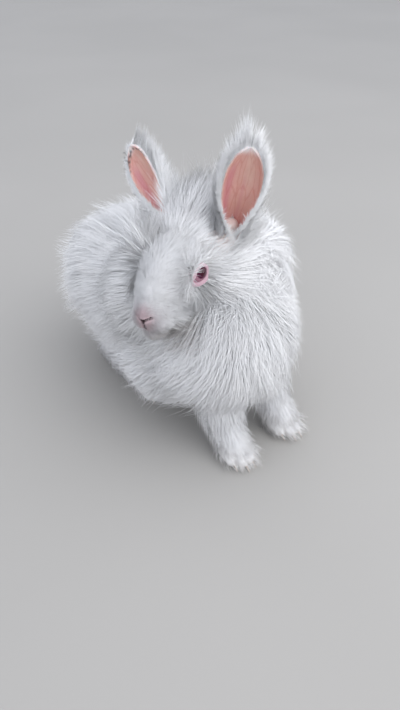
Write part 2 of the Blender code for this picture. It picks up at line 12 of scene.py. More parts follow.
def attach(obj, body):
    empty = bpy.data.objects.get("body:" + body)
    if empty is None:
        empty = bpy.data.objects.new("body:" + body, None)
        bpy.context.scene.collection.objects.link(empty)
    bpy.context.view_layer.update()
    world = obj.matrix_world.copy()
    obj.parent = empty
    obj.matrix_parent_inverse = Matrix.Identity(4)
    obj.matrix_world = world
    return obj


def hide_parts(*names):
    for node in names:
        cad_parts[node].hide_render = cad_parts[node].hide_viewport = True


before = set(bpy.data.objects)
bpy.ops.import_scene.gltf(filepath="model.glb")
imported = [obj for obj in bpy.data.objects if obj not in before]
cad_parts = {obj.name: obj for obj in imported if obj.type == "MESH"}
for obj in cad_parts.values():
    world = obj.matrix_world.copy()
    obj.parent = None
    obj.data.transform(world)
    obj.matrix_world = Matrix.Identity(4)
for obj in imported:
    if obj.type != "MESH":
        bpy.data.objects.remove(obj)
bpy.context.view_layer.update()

mm = 0.001
rng = np.random.default_rng(7)
began = time.time()

# The pose. Body places are (left, back, up) from the datum on the floor, in millimetres, and head
# places are (forward, left, up) from the point midway between the eyes
pose = {
    "datum": (7.4, -31.4, 0.0),
    "eyesMiddle": (-36.4, -28.7, 148.0),
    "headTurnDegrees": 70.0,
}
headTurn = math.radians(pose["headTurnDegrees"])
headAxes = (
    Vector((-math.sin(headTurn), -math.cos(headTurn), 0)),
    Vector((math.cos(headTurn), -math.sin(headTurn), 0)),
    Vector((0, 0, 1)),
)
bodyAxes = (Vector((1, 0, 0)), Vector((0, 1, 0)), Vector((0, 0, 1)))
headFrame = np.array([list(axis) for axis in headAxes])


def say(stage):
    print(f"{time.time() - began:6.1f} s  {stage}", flush=True)


def bodyPoint(place):
    return (Vector(pose["datum"]) + Vector(place)) * mm


def headWay(direction):
    return sum((axis * part for axis, part in zip(headAxes, direction)), Vector())


def headPoint(place):
    return bodyPoint(pose["eyesMiddle"]) + headWay(place) * mm


def seenFromHead(points):
    return (points - np.array(headPoint((0, 0, 0)))) @ headFrame.T / mm


def seenFromBody(points):
    return points / mm - np.array(pose["datum"])


def arrays(vectors):
    return [np.array(vector) for vector in vectors]


def unit(ways):
    return ways / np.maximum(np.linalg.norm(ways, axis=-1, keepdims=True), 1e-12)


def softStep(x, low, high):
    t = np.clip((x - low) / (high - low), 0, 1)
    return t * t * (3 - 2 * t)


def fade(x, near, far):
    # 1 up to near, and 0 from far on
    return softStep(-x, -far, -near)


def zone(points, middle, near, far, stretch=1.0):
    # 1 as far as near from the middle, and 0 from far on
    return fade(np.linalg.norm((points - middle) / stretch, axis=1), near, far)


def newObject(name, data):
    made = bpy.data.objects.new(name, data)
    bpy.context.scene.collection.objects.link(made)
    return made


def turnTowards(made, way):
    made.rotation_euler = way.to_track_quat("-Z", "Y").to_euler()


# camera, floor and light

camera = {
    "place": (-0.2596, -0.314, 0.347),  # from the datum, in metres
    "look": (0.643, 0.766),
    "pitchDegrees": 37.1,
    "lens": 32.45,
    "nearest": 0.02,
}
cameraData = bpy.data.cameras.new("camera")
cameraData.lens = camera["lens"]
cameraData.clip_start = camera["nearest"]
cameraObject = newObject("camera", cameraData)
cameraObject.location = Vector(camera["place"]) + Vector(pose["datum"]) * mm
turnTowards(cameraObject, Vector((*camera["look"], -math.tan(math.radians(camera["pitchDegrees"])))))
bpy.context.scene.camera = cameraObject

studio = {
    "worldColour": (0.90, 0.93, 1.0),
    "worldStrength": 1.05,
    # name, place, size, watts, colour
    "softboxes": [
        ("topSoftbox", (0.2, -0.2, 1.5), 1.4, 3.5, (1.0, 0.985, 0.965)),
        ("sideSoftbox", (1.25, -0.85, 0.5), 0.7, 2, (1.0, 0.98, 0.95)),
        ("frontSoftbox", (0.15, -1.15, 0.95), 1.3, 8, (1.0, 0.99, 0.975)),
    ],
    "aim": (0, 0, 0.1),
    "floorSize": 3.0,
}
world = bpy.data.worlds.new("studio")
world.use_nodes = True
background = world.node_tree.nodes["Background"]
background.inputs["Color"].default_value = (*studio["worldColour"], 1)
background.inputs["Strength"].default_value = studio["worldStrength"]
bpy.context.scene.world = world
bpy.context.scene.view_settings.view_transform = "Standard"
for lampName, place, size, watts, colour in studio["softboxes"]:
    lamp = bpy.data.lights.new(lampName, "AREA")
    lamp.size = size
    lamp.energy = watts
    lamp.color = colour
    lampObject = newObject(lampName, lamp)
    lampObject.location = place
    turnTowards(lampObject, Vector(studio["aim"]) - Vector(place))


# materials

surfaces = {
    # the shader's own sockets, the darker and lighter tone of soft patches and their scale, and the scale,
    # detail and depth of the bumps
    "whiteCoat": {
        "sockets": {"Roughness": 0.8, "Sheen Weight": 0.15, "Sheen Roughness": 0.5},
        "tones": ((0.965, 0.97, 0.98), (1, 1, 1)), "patches": 90.0,
    },
    "rabbitSkin": {
        "sockets": {"Roughness": 0.7},
        "tones": ((0.90, 0.89, 0.90), (1, 1, 1)), "patches": 160.0, "bumps": (1400.0, 2.0, 0.0004),
    },
    "earSkin": {
        "sockets": {
            "Roughness": 0.55, "Subsurface Weight": 0.2, "Subsurface Scale": 0.002,
            "Subsurface Radius": (1.0, 0.35, 0.2),
        },
        "tones": ((0.90, 0.84, 0.82), (1, 1, 1)), "patches": 70.0, "bumps": (900.0, 3.0, 0.0003),
        "veins": 0.55,  # how much of their tone shows
        "veinTone": (0.86, 0.62, 0.62),
        "veinWidth": 0.09,
        "veinBend": 0.12,
    },
    "rubyEye": {
        "sockets": {"Roughness": 0.2, "Coat Weight": 0.3, "Coat Roughness": 0.03, "IOR": 1.25},
        "tones": ((0.72, 0.6, 0.62), (1, 1, 1)), "patches": 1500.0, "detail": 2.0, "spread": (0.35, 0.65),
    },
    "clawHorn": {
        "sockets": {"Roughness": 0.35},
        "tones": ((0.62, 0.50, 0.44), (0.80, 0.72, 0.66)), "patches": 300.0, "bumps": (2000.0, 2.0, 0.0001),
        "markedAndShaded": False,
    },
    "paleFloor": {
        "sockets": {"Roughness": 0.85},
        "tones": ((0.4032, 0.3936, 0.3792), (0.42, 0.41, 0.395)), "patches": 3.0, "detail": 2.0,
        "spread": (0.35, 0.65), "markedAndShaded": False,
    },
}


def addNode(tree, kind, **inputs):
    node = tree.nodes.new("ShaderNode" + kind)
    for socket, value in inputs.items():
        node.inputs[socket].default_value = value
    return node


def attribute(tree, name):
    node = addNode(tree, "Attribute")
    node.attribute_name = name
    return node.outputs


def noiseOver(tree, coordinates, scale, detail, output="Fac"):
    noise = addNode(tree, "TexNoise", Scale=scale, Detail=detail)
    tree.links.new(coordinates, noise.inputs["Vector"])
    return noise.outputs[output]


def ramp(tree, factor, *stops):
    made = addNode(tree, "ValToRGB")
    for element, (place, colour) in zip(made.color_ramp.elements, stops):
        element.position = place
        element.color = (*colour, 1)
    tree.links.new(factor, made.inputs["Fac"])
    return made.outputs["Color"]


def mixed(tree, blend, amount, colourA, colourB):
    mix = addNode(tree, "Mix")
    mix.data_type = "RGBA"
    mix.blend_type = blend
    mix.inputs[0].default_value = amount
    tree.links.new(colourA, mix.inputs[6])
    tree.links.new(colourB, mix.inputs[7])
    return mix.outputs[2]


def veins(tree, look):
    # fine threads that run up the ear's sheet and part
    sheet = attribute(tree, "sheet")["Vector"]
    shifted = mixed(tree, "LINEAR_LIGHT", look["veinBend"], sheet, noiseOver(tree, sheet, 3.0, 2.0, "Color"))
    cells = addNode(tree, "TexVoronoi", Scale=1.0)
    cells.feature = "DISTANCE_TO_EDGE"
    tree.links.new(shifted, cells.inputs["Vector"])
    return ramp(tree, cells.outputs["Distance"], (0.0, look["veinTone"]), (look["veinWidth"], (1, 1, 1)))


def newMaterial(name):
    look = surfaces[name]
    material = bpy.data.materials.new(name)
    material.use_nodes = True
    tree = material.node_tree
    shader = tree.nodes["Principled BSDF"]
    for socket, value in look["sockets"].items():
        shader.inputs[socket].default_value = value
    place = addNode(tree, "TexCoord").outputs["Object"]
    patches = noiseOver(tree, place, look["patches"], look.get("detail", 3.0))
    colour = ramp(tree, patches, *zip(look.get("spread", (0.3, 0.7)), look["tones"]))
    # the markings attribute carries real tints and painted shade
    if look.get("markedAndShaded", True):
        colour = mixed(tree, "MULTIPLY", 1.0, attribute(tree, "markingsAndPaintedShade")["Color"], colour)
    if "veins" in look:
        colour = mixed(tree, "MULTIPLY", look["veins"], colour, veins(tree, look))
    tree.links.new(colour, shader.inputs["Base Color"])
    if "bumps" in look:
        scale, detail, depth = look["bumps"]
        bump = addNode(tree, "Bump", Distance=depth, Strength=1.0)
        tree.links.new(noiseOver(tree, place, scale, detail), bump.inputs["Height"])
        tree.links.new(bump.outputs["Normal"], shader.inputs["Normal"])
    return material


whiteCoat, rabbitSkin, earSkin, rubyEye, clawHorn, paleFloor = (newMaterial(name) for name in surfaces)

floorMesh = bmesh.new()
bmesh.ops.create_grid(floorMesh, x_segments=8, y_segments=8, size=studio["floorSize"])
floorData = bpy.data.meshes.new("floor")
floorMesh.to_mesh(floorData)
floorMesh.free()
floorData.materials.append(paleFloor)
floorObject = newObject("floor", floorData)
say("camera, lights and materials")


# the rabbit's flesh: rounded masses and limbs melted into one skin


def smoothed(data):
    for polygon in data.polygons:
        polygon.use_smooth = True


def newPiece(name, bm, material=None):
    bmesh.ops.recalc_face_normals(bm, faces=bm.faces)
    data = bpy.data.meshes.new(name)
    bm.to_mesh(data)
    bm.free()
    smoothed(data)
    if material:
        data.materials.append(material)
    return newObject(name, data)


def applied(piece):
    bpy.context.view_layer.update()
    made = bpy.data.meshes.new_from_object(piece.evaluated_get(bpy.context.evaluated_depsgraph_get()))
    piece.modifiers.clear()
    piece.data = made
    return piece


def melted(piece, voxel, smoothing):
    melt = piece.modifiers.new("melt", "REMESH")
    melt.mode = "VOXEL"
    melt.voxel_size = voxel * mm
    melt.use_smooth_shade = True
    smooth = piece.modifiers.new("smooth", "SMOOTH")
    smooth.factor = 0.5
    smooth.iterations = smoothing
    return applied(piece)


def joined(piece, operation, other, discard=True):
    step = piece.modifiers.new(operation, "BOOLEAN")
    step.operation = operation
    step.solver = "MANIFOLD"
    step.object = other
    applied(piece)
    if discard:
        bpy.data.objects.remove(other)


def turnedTo(axes, middle, radii=(1, 1, 1)):
    turned = Matrix([[axes[c][r] * radii[c] for c in range(3)] for r in range(3)]).to_4x4()
    return Matrix.Translation(middle) @ turned


def addMass(bm, middle, axes, radii, detail=4):
    bmesh.ops.create_icosphere(bm, subdivisions=detail, radius=mm, matrix=turnedTo(axes, middle, radii))


def addLimb(bm, start, end, startRadius, endRadius, steps=9):
    for i in range(steps):
        t = i / (steps - 1)
        radius = startRadius + (endRadius - startRadius) * t
        addMass(bm, start.lerp(end, t), bodyAxes, [radius] * 3, 3)


def leftAndRight(limbs):
    # each limb, and its twin on the right
    twins = []
    for limb in limbs:
        (x, *start), (u, *end), *rest = limb
        twins += [limb, ((-x, *start), (-u, *end), *rest)]
    return twins


body = {
    "skin": {"share": 0.42, "voxel": 2.2, "smoothing": 6},  # the share of the coat's depth that it takes
    "tips": {"share": 1.0, "voxel": 3.5, "smoothing": 6},
    # middle, half sizes of the flesh, depth of the coat on it
    "masses": [
        ((0, 66, 84), (36, 46, 30), 28),
        ((0, 26, 82), (34, 38, 32), 28),
        ((-3, -10, 86), (31, 34, 33), 28),
        ((-6, -42, 82), (30, 24, 30), 28),
        ((2, -20, 112), (29, 27, 32), 26),
        ((-28, -8, 60), (20, 24, 16), 22),
        ((-14, -40, 60), (18, 16, 14), 20),
        ((18, -14, 62), (18, 22, 16), 16),
        ((32, -18, 126), (18, 20, 16), 18),
        ((0, 36, 42), (26, 52, 16), 14),
        ((18, 62, 41), (15, 34, 23), 11),
        ((-18, 62, 41), (15, 34, 23), 11),
        ((0, 136, 58), (9, 10, 16), 9),
        ((-20, -30, 118), (16, 18, 20), 16),
        ((-40, -14, 118), (14, 18, 18), 16),
    ],
}
legs = {
    "skin": {"share": 0.35, "voxel": 1.1, "smoothing": 2},
    # start, end, radius at each, depth of the coat
    "limbs": leftAndRight([
        ((22, -46, 58), (24, -60, 24), 14, 8.5, 6),
        ((24, -60, 24), (24.5, -72, 10), 8.5, 8, 4.5),
        ((22, 90, 9), (28, 30, 8), 9, 8.5, 4),
        ((17.5, -70, 7), (16, -80, 5), 4.2, 3.6, 2),
        ((22, -72, 8), (21.5, -86, 5), 4.4, 3.6, 2),
        ((27, -72, 8), (27.5, -86, 5), 4.4, 3.6, 2),
        ((31.5, -70, 7), (33, -80, 5), 4.2, 3.6, 2),
        ((22, 30, 7), (21, 18, 5), 4.4, 3.8, 2),
        ((28, 28, 8), (28, 14, 5), 4.6, 3.8, 2),
        ((34, 30, 7), (35, 18, 5), 4.4, 3.8, 2),
    ]),
    "toeCoat": 2,
}
head = {
    # the short fur of the face stands on a skin that is inset
    "skin": {"share": 0.42, "inset": 1.0, "voxel": 0.9, "smoothing": 22},
    "tips": {"share": 1.0, "inset": 0.0, "voxel": 2.5, "smoothing": 4},
    "faceCoat": 2,  # a coat no deeper than this is the face's
    "masses": [
        ((-16, 0, 4), (24, 18, 18), 10),
        ((-20, 0, 16), (12, 8, 9), 14),
        ((8, 0, 1), (29, 16, 18), 0),
        ((20, 0, -6), (22.5, 14.5, 15.5), 0),
        ((6, 7, -9), (25, 11.5, 19), 0),
        ((6, -7, -9), (25, 11.5, 19), 0),
        ((26, 0, -17), (21, 13.5, 14), 0),
        ((31.5, 0, -12.5), (13.5, 11.5, 11.5), 0),
        ((34, 5.5, -22.5), (10, 8, 8), 0),
        ((34, -5.5, -22.5), (10, 8, 8), 0),
        ((42.5, 0, -19.5), (5, 5, 5.5), 0),
        ((40.5, 0, -25), (5, 5.5, 5), 0),
        ((31, 0, -32), (10.5, 7.5, 6.5), 0),
        ((12, 7, -25), (22, 9, 10), 2),
        ((12, -7, -25), (22, 9, 10), 2),
        ((-14, 13, -14), (12, 8, 14), 12),
        ((-14, -13, -14), (12, 8, 14), 12),
        ((4, 11, 8), (14, 7, 7), 0),
        ((4, -11, 8), (14, 7, 7), 0),
    ],
    # start, end, radius at each
    "earBases": [
        ((-19, 12, 4), (-22.5, 23, 21), 10, 7),
        ((-17, -11, 4), (-23, -22, 18.5), 10, 7),
    ],
    "finish": {"voxel": 0.62, "smoothing": 3},
}


def bodyShape(name, share, voxel, smoothing):
    bm = bmesh.new()
    for middle, radii, coat in body["masses"]:
        addMass(bm, bodyPoint(middle), bodyAxes, [r + share * coat for r in radii])
    return melted(newPiece(name, bm), voxel, smoothing)


def legShape(name, share, voxel, smoothing):
    bm = bmesh.new()
    for start, end, startRadius, endRadius, coat in legs["limbs"]:
        addLimb(bm, bodyPoint(start), bodyPoint(end), startRadius + share * coat, endRadius + share * coat)
    return melted(newPiece(name, bm), voxel, smoothing)


def headShape(name, share, inset, voxel, smoothing):
    bm = bmesh.new()
    for middle, radii, coat in head["masses"]:
        grow = share * coat if coat > head["faceCoat"] else -inset
        addMass(bm, headPoint(middle), headAxes, [r + grow for r in radii])
    for start, end, startRadius, endRadius in head["earBases"]:
        addLimb(bm, headPoint(start), headPoint(end), startRadius - inset, endRadius - inset)
    return melted(newPiece(name, bm), voxel, smoothing)


bodySkin, bodyTips = bodyShape("bodySkin", **body["skin"]), bodyShape("bodyTips", **body["tips"])
legSkin = legShape("legSkin", **legs["skin"])
headSkin, headTips = headShape("headSkin", **head["skin"]), headShape("headTips", **head["tips"])
say("flesh and the outlines that the coat reaches")


# eyes and their lids

eye = {
    "radius": 8.0,
    "place": (6.4, 13.6, 0.0),
    "look": (0.34, 0.92, 0.14),
    "level": (0.98, 0, -0.2),
    "opening": (5.3, 5.2),  # half width and half height of the lids' opening
    "openingShift": (-0.8, 0.3),
    "cornerReach": 2.4,  # how much further the opening reaches at its front corner
    "cornerTurn": 0.5,
    "lidSteps": 48,
    "lidRadius": 1.2,
    "lidProud": 0.5,
    "upperLid": 1.15,
    "lowerLid": 0.95,
    "cornerFrom": -0.4,  # forward of this the lids have more skin beyond them, to meet the face
    "cornerBeyond": 1.5,
    "lidMelt": {"voxel": 0.5, "smoothing": 1},
    "pitRise": 12.0,
    "pitRadii": (6.5, 5.9, 9.2),
    "socketGap": 0.08,
    "corneaRise": 0.7,
    "gaze": (0.2, 0.93, 0.3),
    "irisRadius": 4.4,
    "pupilRadius": 2.4,
    "white": (0.42, 0.23, 0.30),
    "iris": (0.085, 0.006, 0.04),
    "irisRim": (0.10, 0.03, 0.05),
    "pupil": (0.05, 0.003, 0.014),
}
eyeSides = (1, -1)


def eyeFrame(side):
    x, y, z = eye["place"]
    a, b, c = eye["look"]
    middle = headPoint((x, side * y, z))
    look = headWay((a, side * b, c)).normalized()
    level = headWay(eye["level"])
    level = (level - look * level.dot(look)).normalized()
    upwards = level.cross(look) * side
    if upwards.z < 0:
        upwards = -upwards
    return middle, look, level, upwards


def lidReach(turn):
    # the opening is drawn out at its front corner
    return 1 + eye["cornerReach"] / eye["opening"][0] * np.maximum(0, np.cos(turn + eye["cornerTurn"])) ** 6


def addLids(side):
    # the eye's opening in the head, and the lids round it
    middle, look, level, upwards = eyeFrame(side)
    pit = bmesh.new()
    addMass(pit, middle + look * eye["pitRise"] * mm, (level, upwards, look), eye["pitRadii"])
    joined(headSkin, "DIFFERENCE", newPiece("pit", pit))
    lids = bmesh.new()
    for i in range(eye["lidSteps"]):
        turn = 2 * math.pi * i / eye["lidSteps"]
        forwards, above = math.cos(turn), math.sin(turn)
        reach = float(lidReach(turn))
        out = [
            part * size * reach + shift
            for part, size, shift in zip((forwards, above), eye["opening"], eye["openingShift"])
        ]
        rise = math.sqrt(max(4.0, (eye["radius"] + eye["lidProud"]) ** 2 - out[0] ** 2 - out[1] ** 2))
        thick = eye["lidRadius"] * (eye["upperLid"] if above > 0 else eye["lowerLid"])
        place = middle + (level * out[0] + upwards * out[1] + look * rise) * mm
        addMass(lids, place, bodyAxes, [thick] * 3, 2)
        if forwards > eye["cornerFrom"]:
            beyond = place + (level * forwards + upwards * above) * eye["cornerBeyond"] * mm
            addMass(lids, beyond, bodyAxes, [thick] * 3, 2)
    joined(headSkin, "UNION", melted(newPiece("lids", lids), **eye["lidMelt"]))


for side in eyeSides:
    addLids(side)
melted(headSkin, **head["finish"])
say("lids")


# nose, lip and mouth, pressed into the head as grooves

muzzle = {
    # points of each line in head places, its half width and its depth
    "grooves": [
        ([(48.0, 0.6, -19.8), (47.0, 3.4, -18.6), (44.6, 6.4, -16.8)], 0.95, 2.2),
        ([(48.0, -0.6, -19.8), (47.0, -3.0, -19.0), (45.6, -5.2, -18.2)], 0.8, 1.8),
        ([(48.5, 0, -19.8), (48.0, 0, -24.5), (45.0, 0, -30.0)], 1.25, 2.4),
    ],
    "mouthMiddle": (26.0, 0.0, -28.5),
    "mouthSpreadDegrees": 66.0,
    "mouthStart": 0.06,
    "mouthRise": 0.12,
    "mouthStations": 25,
    "mouth": (0.7, 1.3),
    # how strongly painted shade darkens each groove, and how bare of fur it is
    "grooveDark": (1.8, 1.8, 1.8, 0.5),
    "grooveBare": (1.0, 1.0, 1.0, 0.5),
    "bareWidth": 1.7,
}


def mouthLine(piece):
    middle, last = headPoint(muzzle["mouthMiddle"]), muzzle["mouthStations"] - 1
    line = []
    for i in range(last + 1):
        share = 2 * i / last - 1
        turn = math.radians(muzzle["mouthSpreadDegrees"] * share)
        rise = muzzle["mouthStart"] + muzzle["mouthRise"] * share**2
        way = headWay((math.cos(turn), math.sin(turn), rise)).normalized()
        hit, place, _, _ = piece.ray_cast(middle, way)
        line.append(place if hit else middle)
    return line


def onSurface(piece, points, depth):
    # the line's points brought to the piece's surface, finely spaced, and the same points sunk by the depth
    spots = [a.lerp(b, i / 8) for a, b in zip(points, points[1:]) for i in range(8)] + [points[-1]]
    found = [piece.closest_point_on_mesh(spot)[1:3] for spot in spots]
    return [place for place, way in found], [place - way * depth * mm for place, way in found]


grooveLines = []
for places, width, depth in muzzle["grooves"]:
    grooveLines.append((*onSurface(headSkin, [headPoint(p) for p in places], depth), width, depth))
grooveLines.append((*onSurface(headSkin, mouthLine(headSkin), muzzle["mouth"][1]), *muzzle["mouth"]))


def readVectors(rows, field):
    found = np.empty(len(rows) * 3)
    rows.foreach_get(field, found)
    return found.reshape(-1, 3)


def coordinates(data):
    return readVectors(data.vertices, "co")


def vertexNormals(data):
    return readVectors(data.vertex_normals, "vector")


def nearness(points, line, width):
    # 1 on the line, falling away over its width in millimetres
    away = np.full(len(points), 1e9)
    for spot in arrays(line):
        away = np.minimum(away, np.linalg.norm(points - spot, axis=1))
    return np.exp(-((away / mm / width) ** 2))


places, ways = coordinates(headSkin.data), vertexNormals(headSkin.data)
for line, floorLine, width, depth in grooveLines:
    places -= ways * (nearness(places, line, width) * depth * mm)[:, None]
headSkin.data.vertices.foreach_set("co", places.ravel())
headSkin.data.update()
say("nostrils, lip and mouth")


# ears

ear = {
    "length": 68.0,
    "wall": 1.7,
    "rounding": 0.5,
    # height share, half width of the sheet, half angle it is rolled through
    "stations": [
        (0.00, 13.0, 150), (0.12, 14.0, 135), (0.28, 15.5, 104), (0.46, 17.5, 78), (0.64, 17.6, 66),
        (0.79, 15.2, 57), (0.90, 10.6, 50), (0.97, 5.4, 46), (1.00, 1.8, 45),
    ],
    "rows": 44,
    "columns": 28,
    "cupWidth": 0.72,
    "cupDepths": (-7, 16),
    "fur": {
        "count": 4200, "length": (6, 13), "byHeight": ([0, 0.5, 1], [1.35, 1.0, 0.75]),
        "radius": (0.16, 0.28), "stray": 0.1, "outwards": 0.18, "toRim": 0.35, "above": 0.4,
    },
    "rim": {
        "count": 4200, "length": (5, 13), "radius": (0.12, 0.2), "stray": 0.19, "lowest": 0.06,
        "tip": (0.86, 0.98), "darkShare": 0.2, "darkShorter": 0.6, "backwards": (-0.2, 0.3),
    },
    "left": {
        "root": (-22, 22.5, 9.5), "axis": (0.08, 0.22, 0.94), "opening": (0.85, 0.47, 0.0), "wide": 0.87,
        "marks": [],
        "fringe": (1.2, 0.9),  # how long the fringe is on each rim
        "lean": ((1.1, 0.0), (0.6, 0.0)),  # how far it leans out along each rim, and to the back
        "climb": 1.0,  # how steeply the fringe rises
        "tipFringe": 1.7,  # how long it is at the ear's tip
        "standOff": 0.28,  # how far the fur on the ear's back stands off it
    },
    "right": {
        "root": (-19, -13.5, 13), "axis": (-0.35, -0.76, 0.54), "opening": (1.0, 0.02, 0.0), "wide": 0.8,
        # height share, place across from -1 to 1, and size of each dark mark on the rim
        "marks": [
            (0.96, -0.4, 1.9), (0.93, -0.7, 2.2), (0.89, -0.93, 2.4), (0.85, -0.97, 1.8), (0.80, -0.96, 1.5),
            (0.95, 0.35, 1.7), (0.91, 0.75, 1.8), (0.86, 0.93, 1.9), (0.81, 0.97, 2.0), (0.76, 0.97, 1.8),
        ],
        "fringe": (0.8, 1.4),
        "lean": ((0.3, 0.1), (-0.05, 0.95)),
        "climb": 0.55,
        "tipFringe": 0.65,
        "standOff": 0.6,
    },
}
earNames = ("left", "right")
heights, halfWidths, halfAngles = zip(*ear["stations"])


def earAxes(name):
    alongEar = headWay(ear[name]["axis"]).normalized()
    front = headWay(ear[name]["opening"])
    front = (front - alongEar * front.dot(alongEar)).normalized()
    return arrays((headPoint(ear[name]["root"]), alongEar, front, alongEar.cross(front)))


def seenFromEar(name, points):
    # how far up the ear each place is, how far ahead of it and how far across, in millimetres
    root, alongEar, front, across = earAxes(name)
    local = (points - root) / mm
    return local @ alongEar, local @ front, local @ across


def earSurface(name, height, side):
    # the ear's middle sheet: place, way out of its back, and way out along its rim
    root, alongEar, front, across = earAxes(name)
    angle = np.radians(np.interp(height, heights, halfAngles))
    radius = np.interp(height, heights, halfWidths) * ear[name]["wide"] / angle
    turn = angle * side
    depth = radius * (1 - np.cos(angle)) / 2
    sideways, forwards = np.sin(turn) * radius, (1 - np.cos(turn)) * radius - depth
    parts = ((alongEar, height * ear["length"]), (across, sideways), (front, forwards))
    sheet = root + sum(way * size[:, None] for way, size in parts) * mm
    back = across * np.sin(turn)[:, None] - front * np.cos(turn)[:, None]
    rim = (across * np.cos(turn)[:, None] + front * np.sin(turn)[:, None]) * np.sign(side)[:, None]
    return sheet, back, rim


def inCup(points):
    # the hollow of each ear, which no fur of the head reaches into
    found = np.zeros(len(points), bool)
    nearest, furthest = ear["cupDepths"]
    for name in earNames:
        up, ahead, across = seenFromEar(name, points)
        height = up / ear["length"]
        width = np.interp(height, heights, halfWidths) * ear["cupWidth"]
        within = (np.abs(across) < width) & (ahead > nearest) & (ahead < furthest)
        found |= (height > 0.2) & (height < 0.95) & within
    return found


def lidShare(points, side):
    # how far each place is from the middle of the lids' opening, 1 at its edge, and how far out it stands
    middle, look, level, upwards = arrays(eyeFrame(side))
    local = (points - middle) / mm
    forwards = (local @ level - eye["openingShift"][0]) / eye["opening"][0]
    above = (local @ upwards - eye["openingShift"][1]) / eye["opening"][1]
    return np.hypot(forwards, above) / lidReach(np.arctan2(above, forwards)), local @ look


def overEye(points):
    # the lids' opening, which no fur lies across
    found = np.zeros(len(points), bool)
    for side in eyeSides:
        share, out = lidShare(points, side)
        found |= (share < 1.12) & (out > 3)
    return found


def darkMarks(name, points):
    found = np.zeros(len(points))
    for height, side, size in ear[name]["marks"]:
        spot = earSurface(name, np.array([height]), np.array([side]))[0][0]
        found = np.maximum(found, zone(points, spot, size * 0.45, size, mm))
    return found


# markings and painted shade, the same on the skin and on the coat over it

tones = {
    "white": (0.96, 0.963, 0.975),
    # painted shade: the face's white fur is painted a darker grey, to match the shade of the deeper coat
    "face": (0.80, 0.805, 0.82),
    "pink": (0.57, 0.41, 0.44),
    "lid": (0.62, 0.41, 0.48),
    # painted shade in the slits of the nose, the lip and the mouth
    "slit": (0.035, 0.012, 0.016),
    # painted shade, grey low on the body's sides
    "flank": (0.80, 0.79, 0.80),
    # painted shade at the nape
    "nape": (0.64, 0.64, 0.655),
    "dust": (0.74, 0.70, 0.66),
    "mark": (0.05, 0.045, 0.05),
    "ear": (0.74, 0.43, 0.37),
    "earDeep": (0.66, 0.28, 0.31),
    "earPale": (0.80, 0.56, 0.47),
    # a grey-brown tint of the muzzle's fur, with painted shade
    "muzzle": (0.58, 0.55, 0.57),
    # a grey-brown stain under the chin, with painted shade
    "chin": (0.50, 0.47, 0.455),
}
# tone, how much of it shows on fur and on bare skin, and its zone: middle in head places, how far out it is
# full and where it ends, and how it is stretched
patchesOfTone = [
    # the muzzle: a grey-brown tint of the fur, and painted shade
    ("muzzle", 0.9, 0.9, ((44, 0, -22), 9, 21, (1.2, 1.0, 1.0))),
    # painted shade at the nape, behind the head
    ("nape", 0.85, 0.85, ((-38, -3, 32), 15, 34)),
    # under the chin: a grey-brown stain of the fur, and painted shade
    ("chin", 0.85, 0.85, ((24, 6, -42), 9, 21, (1.3, 1.3, 0.8))),
    ("pink", 0.65, 0.8, ((46.5, 0, -20), 4.5, 13.5, (1.0, 0.9, 1.2))),
]


def plain(count, colour=tones["white"]):
    return np.tile(np.array(colour), (count, 1))


def blended(colours, toneName, amount):
    return colours + (np.array(tones[toneName]) - colours) * np.clip(amount, 0, 1)[:, None]


def markingsAndPaintedShade(points, bare=False):
    # bare skin shows the pink of the nose and the lids fully, and fur only a breath of it
    inHead, inBody = seenFromHead(points), seenFromBody(points)
    colours = plain(len(points))
    # the face is painted darker than the rest of the coat: painted shade
    colours = blended(colours, "face", softStep(inHead[:, 0], -14, 8) * zone(inHead, (14, 0, -10), 34, 44))
    colours = blended(colours, "dust", 0.55 * fade(inBody[:, 2], 1, 16))
    # low on the body's sides the coat is painted grey: painted shade
    under = fade(inBody[:, 2], 22, 46) * fade(np.abs(inBody[:, 1] - 30), 40, 90)
    colours = blended(colours, "flank", 0.5 * under)
    for toneName, onFur, onSkin, place in patchesOfTone:
        colours = blended(colours, toneName, (onSkin if bare else onFur) * zone(inHead, *place))
    for name in earNames:
        root, alongEar, front, across = earAxes(name)
        cup = root + (alongEar * 15 + front * 3) * mm
        colours = blended(colours, "earPale", 0.6 * zone(points, cup, 5, 9, mm))
    for side in eyeSides:
        share, out = lidShare(points, side)
        ring = fade(share, 1.25, 1.5) * softStep(out, 2.0, 4.0) * (out < 13)
        colours = blended(colours, "lid", (1.0 if bare else 0.2) * ring)
    # painted shade along the slits of the nose, the lip and the mouth
    if bare:
        for (line, floorLine, width, depth), strength in zip(grooveLines, muzzle["grooveDark"]):
            middleLine = [(a + b) / 2 for a, b in zip(line, floorLine)]
            dark = np.maximum(nearness(points, floorLine, width), nearness(points, middleLine, width * 0.7))
            colours = blended(colours, "slit", strength * dark)
    return colours


def setColours(data, colours):
    layer = data.color_attributes.new("markingsAndPaintedShade", "FLOAT_COLOR", "POINT")
    filled = np.ones((len(colours), 4), np.float32)
    filled[:, :3] = colours
    layer.data.foreach_set("color", filled.ravel())


# one skin, and its unwrap for the coat

unwrapping = {"kept": 0.06, "angleDegrees": 66, "margin": 0.003}


def treeOf(piece):
    bm = bmesh.new()
    bm.from_mesh(piece.data)
    tree = BVHTree.FromBMesh(bm)
    bm.free()
    return tree


bodyTree, legTree, headTree = treeOf(bodySkin), treeOf(legSkin), treeOf(headSkin)
bodyTipTree, headTipTree = treeOf(bodyTips), treeOf(headTips)

